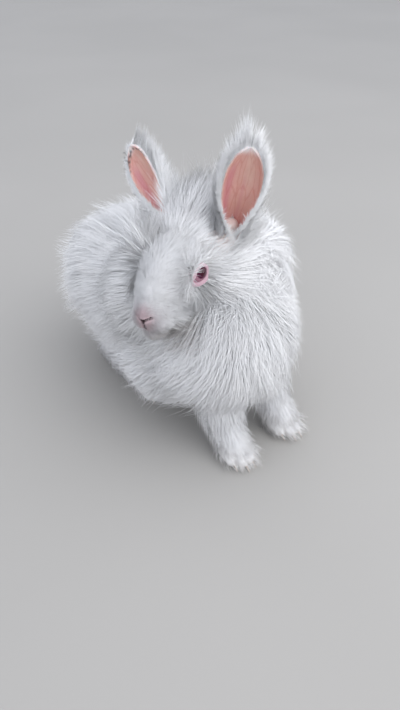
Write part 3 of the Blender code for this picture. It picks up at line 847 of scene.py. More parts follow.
skinPiece = newObject("rabbitSkin", bodySkin.data.copy())
joined(skinPiece, "UNION", legSkin, discard=False)
joined(skinPiece, "UNION", headSkin, discard=False)
for side in eyeSides:
    middle, look, level, upwards = eyeFrame(side)
    ball = bmesh.new()
    addMass(ball, middle, (level, upwards, look), [eye["radius"] + eye["socketGap"]] * 3, 5)
    joined(skinPiece, "DIFFERENCE", newPiece("ball", ball))
places = coordinates(skinPiece.data)
places[:, 2] = np.maximum(places[:, 2], 0.0)
skinPiece.data.vertices.foreach_set("co", places.ravel())
skinPiece.data.update()
skinPiece.data.materials.clear()
skinPiece.data.materials.append(rabbitSkin)
smoothed(skinPiece.data)
setColours(skinPiece.data, markingsAndPaintedShade(coordinates(skinPiece.data), bare=True))
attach(skinPiece, "root")
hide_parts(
    "torso", "neck", "head", "tail", "foreleg_left", "foreleg_right",
    "thigh_left", "thigh_right", "hindfoot_left", "hindfoot_right",
)
say(f"one skin, {len(skinPiece.data.polygons)} faces")

unwrap = newObject("unwrap", skinPiece.data.copy())
thinner = unwrap.modifiers.new("thinner", "DECIMATE")
thinner.ratio = unwrapping["kept"]
thinner.use_collapse_triangulate = True
applied(unwrap)
bpy.context.view_layer.objects.active = unwrap
for other in bpy.context.selected_objects:
    other.select_set(False)
unwrap.select_set(True)
bpy.ops.object.mode_set(mode="EDIT")
bpy.ops.mesh.select_all(action="SELECT")
turn = math.radians(unwrapping["angleDegrees"])
bpy.ops.uv.smart_project(angle_limit=turn, island_margin=unwrapping["margin"])
bpy.ops.object.mode_set(mode="OBJECT")
unwrapTree = treeOf(unwrap)
unwrapUv = np.empty(len(unwrap.data.loops) * 2)
unwrap.data.uv_layers.active.data.foreach_get("uv", unwrapUv)
unwrapUv = unwrapUv.reshape(-1, 3, 2)
unwrapPoints = coordinates(unwrap.data)
unwrapCorners = np.array([list(p.vertices) for p in unwrap.data.polygons])
bpy.data.objects.remove(unwrap)


def patchOf(points):
    # each place's spot on the unwrap of the skin
    found = np.empty((len(points), 2))
    for i, point in enumerate(points):
        place, _, face, _ = unwrapTree.find_nearest(Vector(point))
        a, b, c = unwrapPoints[unwrapCorners[face]]
        n = np.cross(b - a, c - a)
        whole = max(n @ n, 1e-30)
        p = np.array(place)
        u = np.cross(c - b, p - b) @ n / whole
        v = np.cross(a - c, p - c) @ n / whole
        found[i] = np.clip((u, v, 1 - u - v), 0, 1) @ unwrapUv[face]
    return found


say("unwrap")


# tufts

tuft = {
    "most": 195000,  # triangles in a piece, so that it exports whole
    "flatness": 0.7,
    "widths": (0.75, 0.6, 1.35, 2.2),  # of the root, how it swells, how it tapers and how late
    "aboveFloor": 0.0004,
    "patch": (0.0012, 0.0024),  # a tuft's own width and length on the unwrap
    "rootFade": 0.55,
    "sink": 0.3,
    "shadeAlong": 0.15,  # how far a corner's normal leans along the tuft
    "shadeTip": 0.25,
    "leastShade": 0.2,
}
clumping = {"pull": (0.35, 1.0), "tipSpread": 0.15, "bendSpread": 0.6, "bendPull": 0.5}


def cutAcross(bm, heights):
    for height in heights:
        everything = bm.verts[:] + bm.edges[:] + bm.faces[:]
        bmesh.ops.bisect_plane(bm, geom=everything, plane_co=(0, 0, height), plane_no=(0, 0, 1))


def tuftTemplate(*rings):
    # a cone cut across at the rings: each corner's share of the length, its corner of the section, its faces
    bm = bmesh.new()
    middle = Matrix.Translation((0, 0, 0.5))
    bmesh.ops.create_cone(bm, cap_ends=True, segments=3, radius1=1, radius2=0, depth=1, matrix=middle)
    bmesh.ops.remove_doubles(bm, verts=bm.verts, dist=1e-5)
    cutAcross(bm, rings)
    bmesh.ops.triangulate(bm, faces=bm.faces)
    bmesh.ops.recalc_face_normals(bm, faces=bm.faces)
    bm.verts.index_update()
    points = np.array([list(v.co) for v in bm.verts])
    faces = np.array([[v.index for v in f.verts] for f in bm.faces])
    bm.free()
    share = points[:, 2]
    corner = unit(points[:, :2] + 1e-9)
    corner[share > 0.999] = 0
    return share, corner, faces


longTuft, shortTuft = tuftTemplate(0.3, 0.65), tuftTemplate(0.45)


def along(spine, t):
    # the place on each curve at a share of its length
    return spine[0] * (1 - t) ** 2 + spine[1] * 2 * t * (1 - t) + spine[2] * t**2


def tuftPieces(name, template, spine, outwards, radius, colours, paintedRootShade, softness=0.6):
    # closed tapered tufts along the curves, in pieces small enough to export whole
    share, corner, faces = template
    swell, late = tuft["widths"][:2], tuft["widths"][2:]
    profile = (swell[0] + swell[1] * share - late[0] * share ** late[1])[None, :]
    # each tuft is painted darker towards its root: painted shade deep in the coat
    tone = paintedRootShade + (1 - paintedRootShade) * softStep(share, 0.0, tuft["rootFade"])
    ownPatch = (np.column_stack([corner[:, 0], share]) * tuft["patch"])[None]
    most = tuft["most"] // len(faces)
    count = len(spine[0])
    order = np.argsort(rng.random(count))
    patches = patchOf(spine[0])
    t = share[None, :, None]
    for number, start in enumerate(range(0, count, most)):
        pick = order[start:start + most]
        part = [p[pick][:, None, :] for p in spine]
        way = unit((part[1] - part[0]) * 2 * (1 - t) + (part[2] - part[1]) * 2 * t)
        out = outwards[pick][:, None, :]
        across = unit(np.cross(way, out))
        over = np.cross(way, across)
        ringWay = across * corner[None, :, :1] + over * corner[None, :, 1:] * tuft["flatness"]
        corners = along(part, t) + ringWay * np.maximum(radius[pick][:, None] * profile, 0)[:, :, None]
        corners[:, :, 2] = np.maximum(corners[:, :, 2], tuft["aboveFloor"])
        own = unit(ringWay + way * tuft["shadeAlong"])
        normals = unit(own * (1 - softness) + (out + way * tuft["shadeTip"]) * softness)
        # a face seen from behind the skin keeps a normal that it can be lit by
        facing = (normals * own).sum(axis=2, keepdims=True)
        normals = unit(normals + own * np.maximum(0, tuft["leastShade"] - facing))
        data = bpy.data.meshes.new(name)
        n, v, f = len(pick), len(share), len(faces)
        index = (np.arange(n)[:, None, None] * v + faces[None]).reshape(-1)
        data.vertices.add(n * v)
        data.loops.add(n * f * 3)
        data.polygons.add(n * f)
        data.vertices.foreach_set("co", corners.ravel())
        data.loops.foreach_set("vertex_index", index)
        data.polygons.foreach_set("loop_start", np.arange(n * f) * 3)
        data.update(calc_edges=True)
        patch = patches[pick][:, None, :] + ownPatch
        layer = data.uv_layers.new(name="OFBake")
        layer.data.foreach_set("uv", patch.reshape(-1, 2)[index].ravel().astype(np.float32))
        setColours(data, (colours[pick][:, None, :] * tone[None, :, None]).reshape(-1, 3))
        data.normals_split_custom_set_from_vertices(normals.reshape(-1, 3))
        data.materials.append(whiteCoat)
        piece = newObject(f"{name}{number + 1}", data)
        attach(piece, "root")
    say(f"{name}: {count} tufts, {count * len(faces)} triangles")


def scattered(piece, count, weight=None):
    # seeded places on a piece, with outward ways, thinned by a weight from 0 to 1
    data = piece.data
    data.calc_loop_triangles()
    corners = np.empty(len(data.loop_triangles) * 3, np.int32)
    data.loop_triangles.foreach_get("vertices", corners)
    corners = corners.reshape(-1, 3)
    points, ways = coordinates(data), vertexNormals(data)
    a, b, c = (points[corners[:, i]] for i in range(3))
    area = np.linalg.norm(np.cross(b - a, c - a), axis=1)
    if weight is not None:
        area = area * weight((a + b + c) / 3, unit(np.cross(b - a, c - a)))
    picked = rng.choice(len(area), size=count, p=area / area.sum())
    mix = np.sort(rng.random((count, 2)), axis=1)
    mix = np.stack([mix[:, 0], mix[:, 1] - mix[:, 0], 1 - mix[:, 1]], axis=1)[:, :, None]
    place = (points[corners[picked]] * mix).sum(axis=1)
    return place, unit((ways[corners[picked]] * mix).sum(axis=1))


def insideOf(tree, points, margin=1.0):
    found = np.zeros(len(points), bool)
    for i, point in enumerate(points):
        spot = Vector(point)
        place, way, _, _ = tree.find_nearest(spot)
        found[i] = (spot - place).dot(way) < margin * mm
    return found


def outlineAt(tree, points, lift):
    found = np.empty_like(points)
    for i, point in enumerate(points):
        place, way, _, _ = tree.find_nearest(Vector(point))
        found[i] = place + way * lift[i]
    return found


def bowedSpines(roots, ways, lies, lengths, lifts, tipTree, depth):
    # out of the skin, over, and along the outline that the coat's tips reach
    rise = roots + ways * (depth * mm)
    bend = outlineAt(tipTree, rise + lies * (lengths * 0.35 * mm)[:, None], lifts * 0.5 * mm)
    tip = outlineAt(tipTree, rise + lies * (lengths * mm)[:, None], lifts * mm)
    start = roots - ways * 1.5 * mm
    return [start, start + (bend - start) * 0.92, tip]


def curved(roots, bendWay, tipWay, lengths, start=None):
    # curves of their own lengths, over a bend to a tip
    size = (lengths * mm)[:, None]
    return [roots if start is None else start, roots + bendWay * size, roots + tipWay * size]


def clumped(spine, roots, spacing, hold, stray=0.0):
    # neighbours lean together into wisps with one shared tip, which may stray from its lie
    count = max(4, int(len(roots) * spacing))
    centres = rng.choice(len(roots), size=count, replace=False)
    spine[2][centres] += rng.normal(0, 1, (count, 3)) * stray * mm
    tree = KDTree(count)
    for i, c in enumerate(centres):
        tree.insert(Vector(roots[c]), i)
    tree.balance()
    leader = np.array([centres[tree.find(Vector(p))[1]] for p in roots])
    pull = (hold * rng.uniform(*clumping["pull"], len(roots)))[:, None]
    apart = roots - roots[leader]
    spine[2] = spine[2] + (spine[2][leader] + apart * clumping["tipSpread"] - spine[2]) * pull
    bend = spine[1][leader] + apart * clumping["bendSpread"] - spine[1]
    spine[1] = spine[1] + bend * pull * clumping["bendPull"]
    return spine


def flattened(ways, normals):
    return unit(ways - normals * (ways * normals).sum(axis=1)[:, None])


# the body's coat

bodyCoat = {
    "layers": {
        "long": {
            "template": longTuft, "count": 38000, "length": (22, 42), "lift": (-3.5, 2.5),
            "radius": (0.17, 0.27), "clumps": 0.1, "hold": 0.35, "stray": 2.0,
        },
        "under": {
            "template": shortTuft, "count": 14000, "length": (12, 26), "lift": (-6, -2.5),
            "radius": (0.26, 0.38), "clumps": 0.12, "hold": 0.15, "stray": 1.0,
        },
        "wisps": {
            "template": longTuft, "count": 8500, "length": (26, 46), "lift": (2, 10),
            "radius": (0.13, 0.22), "clumps": 0.06, "hold": 0.9, "stray": 2.5,
        },
    },
    "depth": 8.0,
    "clearOfFloor": 4,
    "tipsAboveFloor": (2.5, 9),
    # zones in head places: the middle, how far out they are full and where they end
    "smooth": ((0, 26, -40), 45, 72),
    "farGap": ((12, -32, -14), 32, 58),
    "nearGap": ((4, 28, -32), 22, 38),
    "farFill": 12,
    "nearFill": 4.5,
    "flank": (30, 58),
    "flankFlatter": 0.85,
    "flankShorter": 0.2,
    # a way out of the body, and how far out along it the ends begin to lie in
    "closeSides": [((0.766, -0.643, 0.0), 75.0), ((-1.0, 0.0, 0.0), 78.0)],
    "closeShare": 0.65,
}
bodyPulls = {"sideways": 0.3, "down": 0.7, "napeLess": 0.6, "stray": 0.13}
swirling = {
    "waves": np.array([[170.0, 90.0, 60.0], [-80.0, 150.0, 120.0], [60.0, -130.0, 190.0]]).T,
    "strength": 0.2,
    "finer": 2.3,
    "finerShare": 0.6,
}


def swirl(points):
    # the lie wanders slowly from place to place, so the coat doesn't look combed
    waves, strength = swirling["waves"], swirling["strength"]
    broad = strength * np.sin(points @ waves + np.array([0.4, 2.1, 4.0]))
    fine = np.sin(points @ (waves * swirling["finer"]) + np.array([1.7, 0.2, 3.1]))
    return broad + swirling["finerShare"] * strength * fine


def bodyLie(points, ways):
    # back along the spine, back and down on the flanks, down on the chest
    place = seenFromBody(points)
    nape = softStep(place[:, 2], 92, 118) * softStep(place[:, 1], -14, 10)
    backwards = 1 + np.minimum(0, ways[:, 1]) * (1 - nape)
    downwards = -bodyPulls["down"] * (1 - bodyPulls["napeLess"] * nape)
    lie = np.stack([bodyPulls["sideways"] * ways[:, 0], backwards, downwards], axis=1)
    lie += swirl(points) + rng.normal(0, bodyPulls["stray"], lie.shape)
    return flattened(lie, ways)


def onBody(middles, ways):
    return np.where(ways[:, 2] < -0.8, 0.25, 1.0)


def bodyLayer(layerName, kind):
    roots, ways = scattered(bodySkin, kind["count"], onBody)
    aboveFloor = roots[:, 2] > bodyCoat["clearOfFloor"] * mm
    keep = ~insideOf(headTree, roots) & ~insideOf(legTree, roots) & aboveFloor
    # below the near cheek the coat lies smooth
    smooth = zone(seenFromHead(roots), *bodyCoat["smooth"])
    if layerName == "wisps":
        keep &= rng.random(len(roots)) > 0.8 * smooth
    roots, ways, smooth = roots[keep], ways[keep], smooth[keep]
    n = len(roots)
    lengths = rng.uniform(*kind["length"], n)
    lies = bodyLie(roots, ways)
    lifts = rng.uniform(*kind["lift"], n)
    # the near flank is brushed flatter
    flank = softStep(roots[:, 0] / mm, *bodyCoat["flank"])
    lifts -= np.maximum(lifts, 0) * bodyCoat["flankFlatter"] * flank
    lengths *= 1 - bodyCoat["flankShorter"] * flank
    # under the cheeks the coat fills out to meet the head's
    placed = seenFromHead(roots)
    farGap = softStep(-placed[:, 1], 10, 22) * zone(placed, *bodyCoat["farGap"])
    nearGap = softStep(placed[:, 1], 8, 18) * zone(placed, *bodyCoat["nearGap"])
    lifts *= 1 - 0.5 * np.maximum(nearGap, farGap)
    lifts += bodyCoat["farFill"] * farGap + bodyCoat["nearFill"] * nearGap
    spine = bowedSpines(roots, ways, lies, lengths, lifts, bodyTipTree, bodyCoat["depth"])
    spine = clumped(spine, roots, kind["clumps"], kind["hold"] * (1 - 0.7 * smooth), kind["stray"])
    for part, reach in ((1, 1.0), (2, 0.9)):
        spine[part] += rng.normal(0, reach * mm, (n, 3)) * (1 - 0.4 * smooth)[:, None]
    # at the shoulder and the far flank the ends lie in, close to the skin
    for sideWay, reach in bodyCoat["closeSides"]:
        for part in (1, 2):
            past = np.maximum(0, seenFromBody(spine[part]) @ np.array(sideWay) - reach)
            spine[part] -= bodyCoat["closeShare"] * past[:, None] * np.array(sideWay) * mm
    spine[2][:, 2] = np.maximum(spine[2][:, 2], rng.uniform(*bodyCoat["tipsAboveFloor"], n) * mm)
    radius, colours = rng.uniform(*kind["radius"], n) * mm, markingsAndPaintedShade(spine[2])
    tuftPieces("bodyCoat" + layerName.capitalize(), kind["template"], spine, ways, radius, colours, 0.98, 0.9)


for layerName, kind in bodyCoat["layers"].items():
    bodyLayer(layerName, kind)


# the head's coat: short on the face, longer behind it and on the cheeks and crown

headCoat = {
    "counts": {"headCoatShort": 30000, "headCoatLong": 11000},
    "longer": 1.25,
    "longLift": (-3, 4),
    "crownLift": (0, 8),
    "longDepth": 4.0,
    "farCheekLonger": 1.1,
    "nearCheekLonger": 0.9,
    # forward place on the head, and the length of the fur there
    "lengths": [(-30, 24), (-16, 20), (-4, 16), (8, 12.5), (22, 8.5), (34, 5.2), (42, 3.0), (48, 1.4)],
    "radius": [(-30, 0.22), (-4, 0.18), (10, 0.15), (34, 0.12), (48, 0.10)],
    "density": [(-30, 0.35), (-5, 0.7), (10, 1.0), (35, 1.6), (48, 2.2)],
    "flatness": [(-20, 0.7), (10, 0.5), (45, 0.38)],
    "spread": {"headCoatShort": 0.09, "headCoatLong": 0.05},
    "clearAt": (0.3, 0.5, 0.7, 0.85, 1.0),  # shares of a curve that are kept out of the eyes and ears
}
# how strongly the fur of the head turns to each way
headPulls = {
    "down": -0.2, "outwards": 0.25, "crownUp": 1.6, "cheekDown": 0.5, "chinDown": 0.6, "upEar": 2.4,
    "fromEye": 2.6, "fromSlit": 2.0, "stray": 0.12,
}


def headLie(points, ways):
    forward, left, up = seenFromHead(points).T
    crown = softStep(up, 9, 19) * softStep(-forward, 4, 14)
    cheek = softStep(-up, 4, 18) * softStep(np.abs(left), 4, 12)
    chin = softStep(-up, 26, 34)
    downwards = headPulls["cheekDown"] * cheek + headPulls["chinDown"] * chin
    upwards = headPulls["down"] + headPulls["crownUp"] * crown - downwards
    lie = np.stack([np.full(len(points), -1.0), headPulls["outwards"] * np.tanh(left / 8), upwards], axis=1)
    lie += rng.normal(0, headPulls["stray"], lie.shape)
    lie = lie @ headFrame
    # round the ears' roots the fur climbs the ear
    for name in earNames:
        root, alongEar, front, across = earAxes(name)
        foot = root + alongEar * 3 * mm
        lie += headPulls["upEar"] * alongEar * zone(points, foot, 12, 22, mm)[:, None]
    # round the lids the fur grows away from the eye, and round the slits away from them
    for side in eyeSides:
        middle = np.array(eyeFrame(side)[0])
        lie += headPulls["fromEye"] * unit(points - middle) * zone(points, middle, 10, 17, mm)[:, None]
    for line, floorLine, width, depth in grooveLines[:3]:
        spots = np.array([list(p) for p in line])
        nearest = spots[np.argmin(np.linalg.norm(points[:, None] - spots[None], axis=2), axis=1)]
        fromSlit = unit((points - nearest) / mm)
        lie += headPulls["fromSlit"] * fromSlit * zone(points, nearest, 1.5, 4, mm)[:, None]
    return flattened(lie, ways), crown


def bareSpots(points):
    # 0 where skin shows: inside the lids and on the nose's slits
    grown = np.ones(len(points))
    for side in eyeSides:
        share, out = lidShare(points, side)
        grown *= 1 - fade(share, 1.16, 1.26) * (out > 1)
    for (line, floorLine, width, depth), bare in zip(grooveLines, muzzle["grooveBare"]):
        near, deep = (nearness(points, of, muzzle["bareWidth"]) for of in (line, floorLine))
        grown *= 1 - bare * np.maximum(near, deep)
    # the cup of each ear stays open
    for name in earNames:
        up, ahead, across = seenFromEar(name, points)
        grown *= 1 - softStep(ahead, 1, 4) * (np.abs(across) < 9) * (up > 15) * (up < 30)
    return grown


def byForward(rows, forward):
    return np.interp(forward, *zip(*headCoat[rows]))


def onFace(middles, ways):
    return bareSpots(middles) * byForward("density", seenFromHead(middles)[:, 0])


def behindFace(middles, ways):
    return bareSpots(middles) * softStep(-seenFromHead(middles)[:, 0], -7, 8)


def headLayer(layerName, weight):
    roots, ways = scattered(headSkin, headCoat["counts"][layerName], weight)
    keep = ~insideOf(bodyTree, roots)
    roots, ways = roots[keep], ways[keep]
    n = len(roots)
    forward, left, up = seenFromHead(roots).T
    lengths = byForward("lengths", forward) * rng.uniform(0.7, 1.25, n)
    farCheek = softStep(-left, 5, 14) * fade(forward, 12, 26) * softStep(forward, -8, 2)
    nearCheek = softStep(left, 4, 12) * fade(forward, 6, 24) * fade(up, -6, 6)
    lengths *= 1 + headCoat["farCheekLonger"] * farCheek * fade(up, 8, 16)
    lengths *= 1 + headCoat["nearCheekLonger"] * nearCheek
    lies, crown = headLie(roots, ways)
    radius = byForward("radius", forward) * rng.uniform(0.8, 1.2, n) * mm
    if layerName == "headCoatLong":
        template = longTuft
        lengths *= headCoat["longer"]
        lifts = rng.uniform(*headCoat["longLift"], n) * (1 - 0.5 * nearCheek)
        lifts += crown * rng.uniform(*headCoat["crownLift"], n)
        spine = bowedSpines(roots, ways, lies, lengths, lifts, headTipTree, headCoat["longDepth"])
        spine = clumped(spine, roots, 0.1, 0.5, 2.0)
    else:
        template = shortTuft
        outwards = ways * (byForward("flatness", forward) + 0.2 * farCheek)[:, None]
        start = roots - ways * tuft["sink"] * mm
        spine = curved(roots, lies * 0.35 + outwards * 0.9, lies + outwards, lengths, start)
        spine = clumped(spine, roots, 0.12, 0.25)
    for part in (1, 2):
        spine[part] += rng.normal(0, 1, (n, 3)) * (lengths * headCoat["spread"][layerName] * mm)[:, None]
    clear = np.ones(n, bool)
    for t in headCoat["clearAt"]:
        place = along(spine, t)
        clear &= ~(inCup(place) | overEye(place))
    spine, ways, radius = [part[clear] for part in spine], ways[clear], radius[clear]
    tuftPieces(layerName, template, spine, ways, radius, markingsAndPaintedShade(spine[2]), 0.97, 0.85)


headLayer("headCoatShort", onFace)
headLayer("headCoatLong", behindFace)


# short coat of the legs and feet

legCoat = {
    "count": 14000,
    "length": (6, 11),
    "byHeight": ([0, 12, 40], [0.8, 1.1, 1.6]),
    "radius": (0.15, 0.25),
    "soleHeight": 8,
    "tipsAboveFloor": (0.6, 3),
}


def legLie(points, ways):
    toes = softStep(20 - seenFromBody(points)[:, 2], 0, 14)
    lie = np.stack([np.zeros(len(points)), -0.25 - 0.9 * toes, -1.0 + 0.75 * toes], axis=1)
    lie += rng.normal(0, 0.18, lie.shape)
    return flattened(lie, ways)


def legLayer():
    roots, ways = scattered(legSkin, legCoat["count"])
    keep = ~insideOf(bodyTree, roots) & ((ways[:, 2] > -0.5) | (roots[:, 2] > legCoat["soleHeight"] * mm))
    roots, ways = roots[keep], ways[keep]
    n = len(roots)
    lengths = rng.uniform(*legCoat["length"], n) * np.interp(roots[:, 2] / mm, *legCoat["byHeight"])
    lies = legLie(roots, ways)
    spine = curved(roots, lies * 0.4 + ways * 0.5, lies + ways * 0.5, lengths, roots - ways * tuft["sink"] * mm)
    spine = clumped(spine, roots, 0.08, 0.5)
    spine[2] += rng.normal(0, 0.5 * mm, (n, 3))
    spine[2][:, 2] = np.maximum(spine[2][:, 2], rng.uniform(*legCoat["tipsAboveFloor"], n) * mm)
    radius = rng.uniform(*legCoat["radius"], n) * mm
    tuftPieces("legCoat", shortTuft, spine, ways, radius, markingsAndPaintedShade(spine[2]), 0.92, 0.7)


legLayer()


# each ear's skin and fur


def treeAt(points):
    tree = KDTree(len(points))
    for i, point in enumerate(points):
        tree.insert(Vector(point), i)
    tree.balance()
    return tree


def earSheet(name, sideName):
    # the ear's skin: one thin cupped sheet, pink inside
    bm = bmesh.new()
    bmesh.ops.create_grid(bm, x_segments=ear["columns"], y_segments=ear["rows"], size=1)
    grid = np.array([list(v.co) for v in bm.verts])
    height, side = (grid[:, 1] + 1) / 2 * 0.998 + 0.001, grid[:, 0]
    sheet, back, rim = earSurface(name, height, side)
    for vertex, place in zip(bm.verts, sheet):
        vertex.co = place
    piece = newPiece(sideName, bm, earSkin)
    wall = piece.modifiers.new("wall", "SOLIDIFY")
    wall.thickness = ear["wall"] * mm
    wall.offset = 0
    rounding = piece.modifiers.new("rounding", "BEVEL")
    rounding.width = ear["rounding"] * mm
    rounding.segments = 2
    applied(piece)
    points = coordinates(piece.data)
    up = seenFromEar(name, points)[0] / ear["length"]
    sheetTree = treeAt(sheet)
    spots = np.array([sheetTree.find(Vector(p))[1] for p in points])
    inside = ((points - sheet[spots]) * back[spots]).sum(axis=1) < 0
    place = side[spots]
    toRim = 1 - 0.3 * softStep(np.abs(place), 0.97, 1.0)
    colours = blended(plain(len(points)), "ear", inside * toRim * fade(up, 0.90, 0.99))
    # a pinker band along one edge and low in the cup, a paler one beside it, and a fine dark line
    band = fade(np.abs(place + 0.62), 0.05, 0.34) * fade(up, 0.7, 0.9)
    colours = blended(colours, "earDeep", 0.85 * inside * np.maximum(band, 0.4 * fade(up, 0.2, 0.42)))
    pale = fade(np.abs(place - 0.25), 0.05, 0.4) * fade(np.abs(up - 0.78), 0.05, 0.3)
    colours = blended(colours, "earPale", 0.7 * inside * pale)
    dimple = fade(np.abs(place - 0.1), 0.02, 0.10) * fade(up, 0.6, 0.85)
    colours = blended(colours, "earDeep", 0.35 * inside * dimple)
    setColours(piece.data, blended(colours, "mark", 0.9 * inside * darkMarks(name, points)))
    sheetPlace = np.stack([side * 3.2, height * 3.0, np.zeros(len(side))], axis=1)
    sheetLayer = piece.data.attributes.new("sheet", "FLOAT_VECTOR", "POINT")
    sheetLayer.data.foreach_set("vector", sheetPlace[spots].astype(np.float32).ravel())
    smoothed(piece.data)
    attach(piece, "root")
    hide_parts("ear_" + name)


def earFur(name, sideName):
    # fur on the ear's back, longer where its fringe is
    own, kind = ear[name], ear["fur"]
    n = kind["count"]
    height, side = 0.98 * rng.random(n) ** 0.9, rng.uniform(-1, 1, n)
    sheet, back, rim = earSurface(name, height, side)
    alongEar = earAxes(name)[1]
    lengths = rng.uniform(*kind["length"], n) * np.interp(height, *kind["byHeight"])
    lengths *= np.where(side < 0, *own["fringe"])
    stray = rng.normal(0, kind["stray"], (n, 3))
    lie = unit(alongEar + back * kind["outwards"] + rim * (np.abs(side) * kind["toRim"])[:, None] + stray)
    start = sheet + back * kind["above"] * mm
    spine = curved(start, lie * 0.4 + back * 0.3, lie + back * own["standOff"], lengths)
    spine = clumped(spine, start, 0.09, 0.5)
    radius = rng.uniform(*kind["radius"], n) * mm
    tuftPieces(sideName + "Coat", shortTuft, spine, back, radius, plain(n), 0.95, 0.8)


def earFringe(name, sideName):
    # the fringe that stands out round the rim, and finer hair just inside it
    own, kind = ear[name], ear["rim"]
    n = kind["count"]
    alongEar, front = earAxes(name)[1:3]
    height = kind["lowest"] + (1 - kind["lowest"]) * rng.random(n) ** 0.8
    side = np.where(rng.random(n) < 0.5, -1.0, 1.0) * rng.uniform(0.9, 1.0, n)
    atTip = softStep(height, *kind["tip"])
    side *= 1 - atTip * rng.random(n)
    sheet, back, rim = earSurface(name, height, side)
    dark = darkMarks(name, sheet) * (rng.random(n) < kind["darkShare"])
    byHeight = np.interp(height, [0, 0.5, 0.9, 1], [1.0, 0.9, min(1.2, own["tipFringe"]), own["tipFringe"]])
    lengths = rng.uniform(*kind["length"], n) * np.where(side < 0, *own["fringe"])
    lengths *= byHeight * (1 - kind["darkShorter"] * dark)
    lean = np.where((side < 0)[:, None], *own["lean"]) * (1 - np.array((0.75, 0.0)) * atTip[:, None])
    backwards = (lean[:, 1] + rng.uniform(*kind["backwards"], n))[:, None]
    lie = alongEar * own["climb"] * (0.75 + 0.5 * height)[:, None] + rim * lean[:, :1] + back * backwards
    lie = unit(lie + rng.normal(0, kind["stray"], (n, 3)))
    start = sheet - rim * tuft["sink"] * mm
    spine = clumped(curved(start, lie * 0.45 + rim * 0.28 * lean[:, :1], lie, lengths), start, 0.12, 0.6)
    radius = rng.uniform(*kind["radius"], n) * mm
    colours = blended(plain(n), "mark", 0.8 * dark)
    outwards = unit(np.array([0, 0, 0.6]) + rim * 0.5 + front * 0.6)
    tuftPieces(sideName + "Fringe", shortTuft, spine, outwards, radius, colours, 0.98, 0.8)


for name in earNames:
    for part in (earSheet, earFur, earFringe):
        part(name, "ear" + name.capitalize())


# eyeballs


def eyeball(side, pieceName, nodeName):
    middle, look, level, upwards = eyeFrame(side)
    ahead, sideways, above = eye["gaze"]
    look = headWay((ahead, side * sideways, above)).normalized()
    level = (level - look * level.dot(look)).normalized()
    upwards = look.cross(level)
    bm = bmesh.new()
    bmesh.ops.create_uvsphere(bm, u_segments=64, v_segments=48, radius=eye["radius"] * mm)
    for vertex in bm.verts:
        away = math.hypot(vertex.co.x, vertex.co.y) / mm
        if vertex.co.z > 0 and away < eye["irisRadius"]:
            vertex.co.z += eye["corneaRise"] * mm * (1 - (away / eye["irisRadius"]) ** 2)
    bmesh.ops.transform(bm, matrix=turnedTo((level, upwards, look), middle), verts=bm.verts)
    piece = newPiece(pieceName, bm, rubyEye)
    local = (coordinates(piece.data) - np.array(middle)) / mm
    rise = local @ np.array(look)
    away = np.linalg.norm(local - rise[:, None] * np.array(look), axis=1) + 20 * (rise < 0)
    turn = np.arctan2(local @ np.array(upwards), local @ np.array(level))
    spokes = 0.5 + 0.3 * np.sin(turn * 23 + np.sin(turn * 7) * 2) + 0.2 * np.sin(turn * 41)
    irisColour = np.array(eye["iris"]) * (0.65 + 0.55 * spokes[:, None])
    irisColour += np.array(eye["irisRim"]) * softStep(away, 3.8, 4.8)[:, None]
    colours = plain(len(local), eye["white"])
    colours += (irisColour - colours) * fade(away, eye["irisRadius"] - 0.4, eye["irisRadius"] + 0.2)[:, None]
    inPupil = fade(away, eye["pupilRadius"] - 0.3, eye["pupilRadius"] + 0.4)[:, None]
    colours += (np.array(eye["pupil"]) - colours) * inPupil
    setColours(piece.data, np.clip(colours, 0, 1))
    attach(piece, "root")
    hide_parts(nodeName)


eyeball(1, "eyeballLeft", "eye_left")
eyeball(-1, "eyeballRight", "eye_right")
say("ears and eyes")


# whiskers and claws

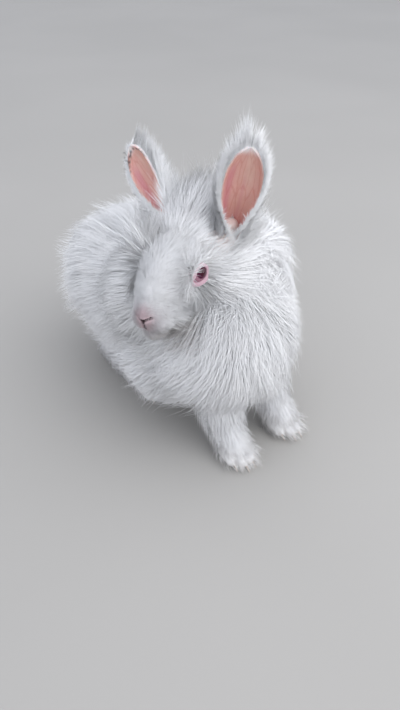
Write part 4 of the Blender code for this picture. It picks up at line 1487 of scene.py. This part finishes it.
whiskers = {"perSide": 11, "length": (14, 26), "radius": 0.09, "droop": (-0.4, 0, -0.45), "tone": [0.95] * 3}
n = whiskers["perSide"] * 2
sides = np.repeat((1.0, -1.0), whiskers["perSide"])
pads = [headPoint((36 - 2.2 * (i % 4), s * 11, -19 - 1.9 * (i % 5))) for i, s in enumerate(sides)]
start = np.array([list(headSkin.closest_point_on_mesh(place)[1]) for place in pads])
lie = [rng.uniform(-0.75, -0.15, n), sides * rng.uniform(0.8, 1.0, n), rng.uniform(-0.5, 0.1, n)]
lie = unit(np.stack(lie, axis=1) @ headFrame)
lengths, droop = rng.uniform(*whiskers["length"], n), np.array(headWay(whiskers["droop"]))
spine = curved(start, lie * 0.5, lie + droop, lengths)
radius, colours = np.full(n, whiskers["radius"] * mm), plain(n, whiskers["tone"])
tuftPieces("whiskers", longTuft, spine, plain(n, (0, 0, 1.0)), radius, colours, 1.0)

claws = {"length": 6.5, "radius": 1.1, "point": 0.12, "hook": 2.0, "ahead": 1.5}
clawLength = claws["length"] * mm


def claw(number, knuckle, tip):
    way = (tip - knuckle).normalized()
    bm = bmesh.new()
    bmesh.ops.create_cone(
        bm, cap_ends=True, segments=12, radius1=claws["radius"] * mm, radius2=claws["point"] * mm,
        depth=clawLength, matrix=Matrix.Translation((0, 0, clawLength / 2)),
    )
    cutAcross(bm, [share * clawLength for share in (0.25, 0.5, 0.75)])
    turned = way.to_track_quat("Z", "Y").to_matrix().to_4x4()
    placed = Matrix.Translation(tip + way * claws["ahead"] * mm) @ turned
    bmesh.ops.transform(bm, matrix=placed, verts=bm.verts)
    for vertex in bm.verts:
        share = (vertex.co - tip).dot(way) / clawLength
        vertex.co.z = max(0.0003, vertex.co.z - claws["hook"] * mm * max(0.0, share) ** 2)
    piece = newPiece(f"claw{number + 1}", bm, clawHorn)
    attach(piece, "root")


toes = [row for row in legs["limbs"] if row[4] == legs["toeCoat"]]
for number, (start, end, *_) in enumerate(toes):
    claw(number, bodyPoint(start), bodyPoint(end))

for helper in (bodySkin, legSkin, headSkin, bodyTips, headTips):
    bpy.data.objects.remove(helper)

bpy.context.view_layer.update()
say("done")
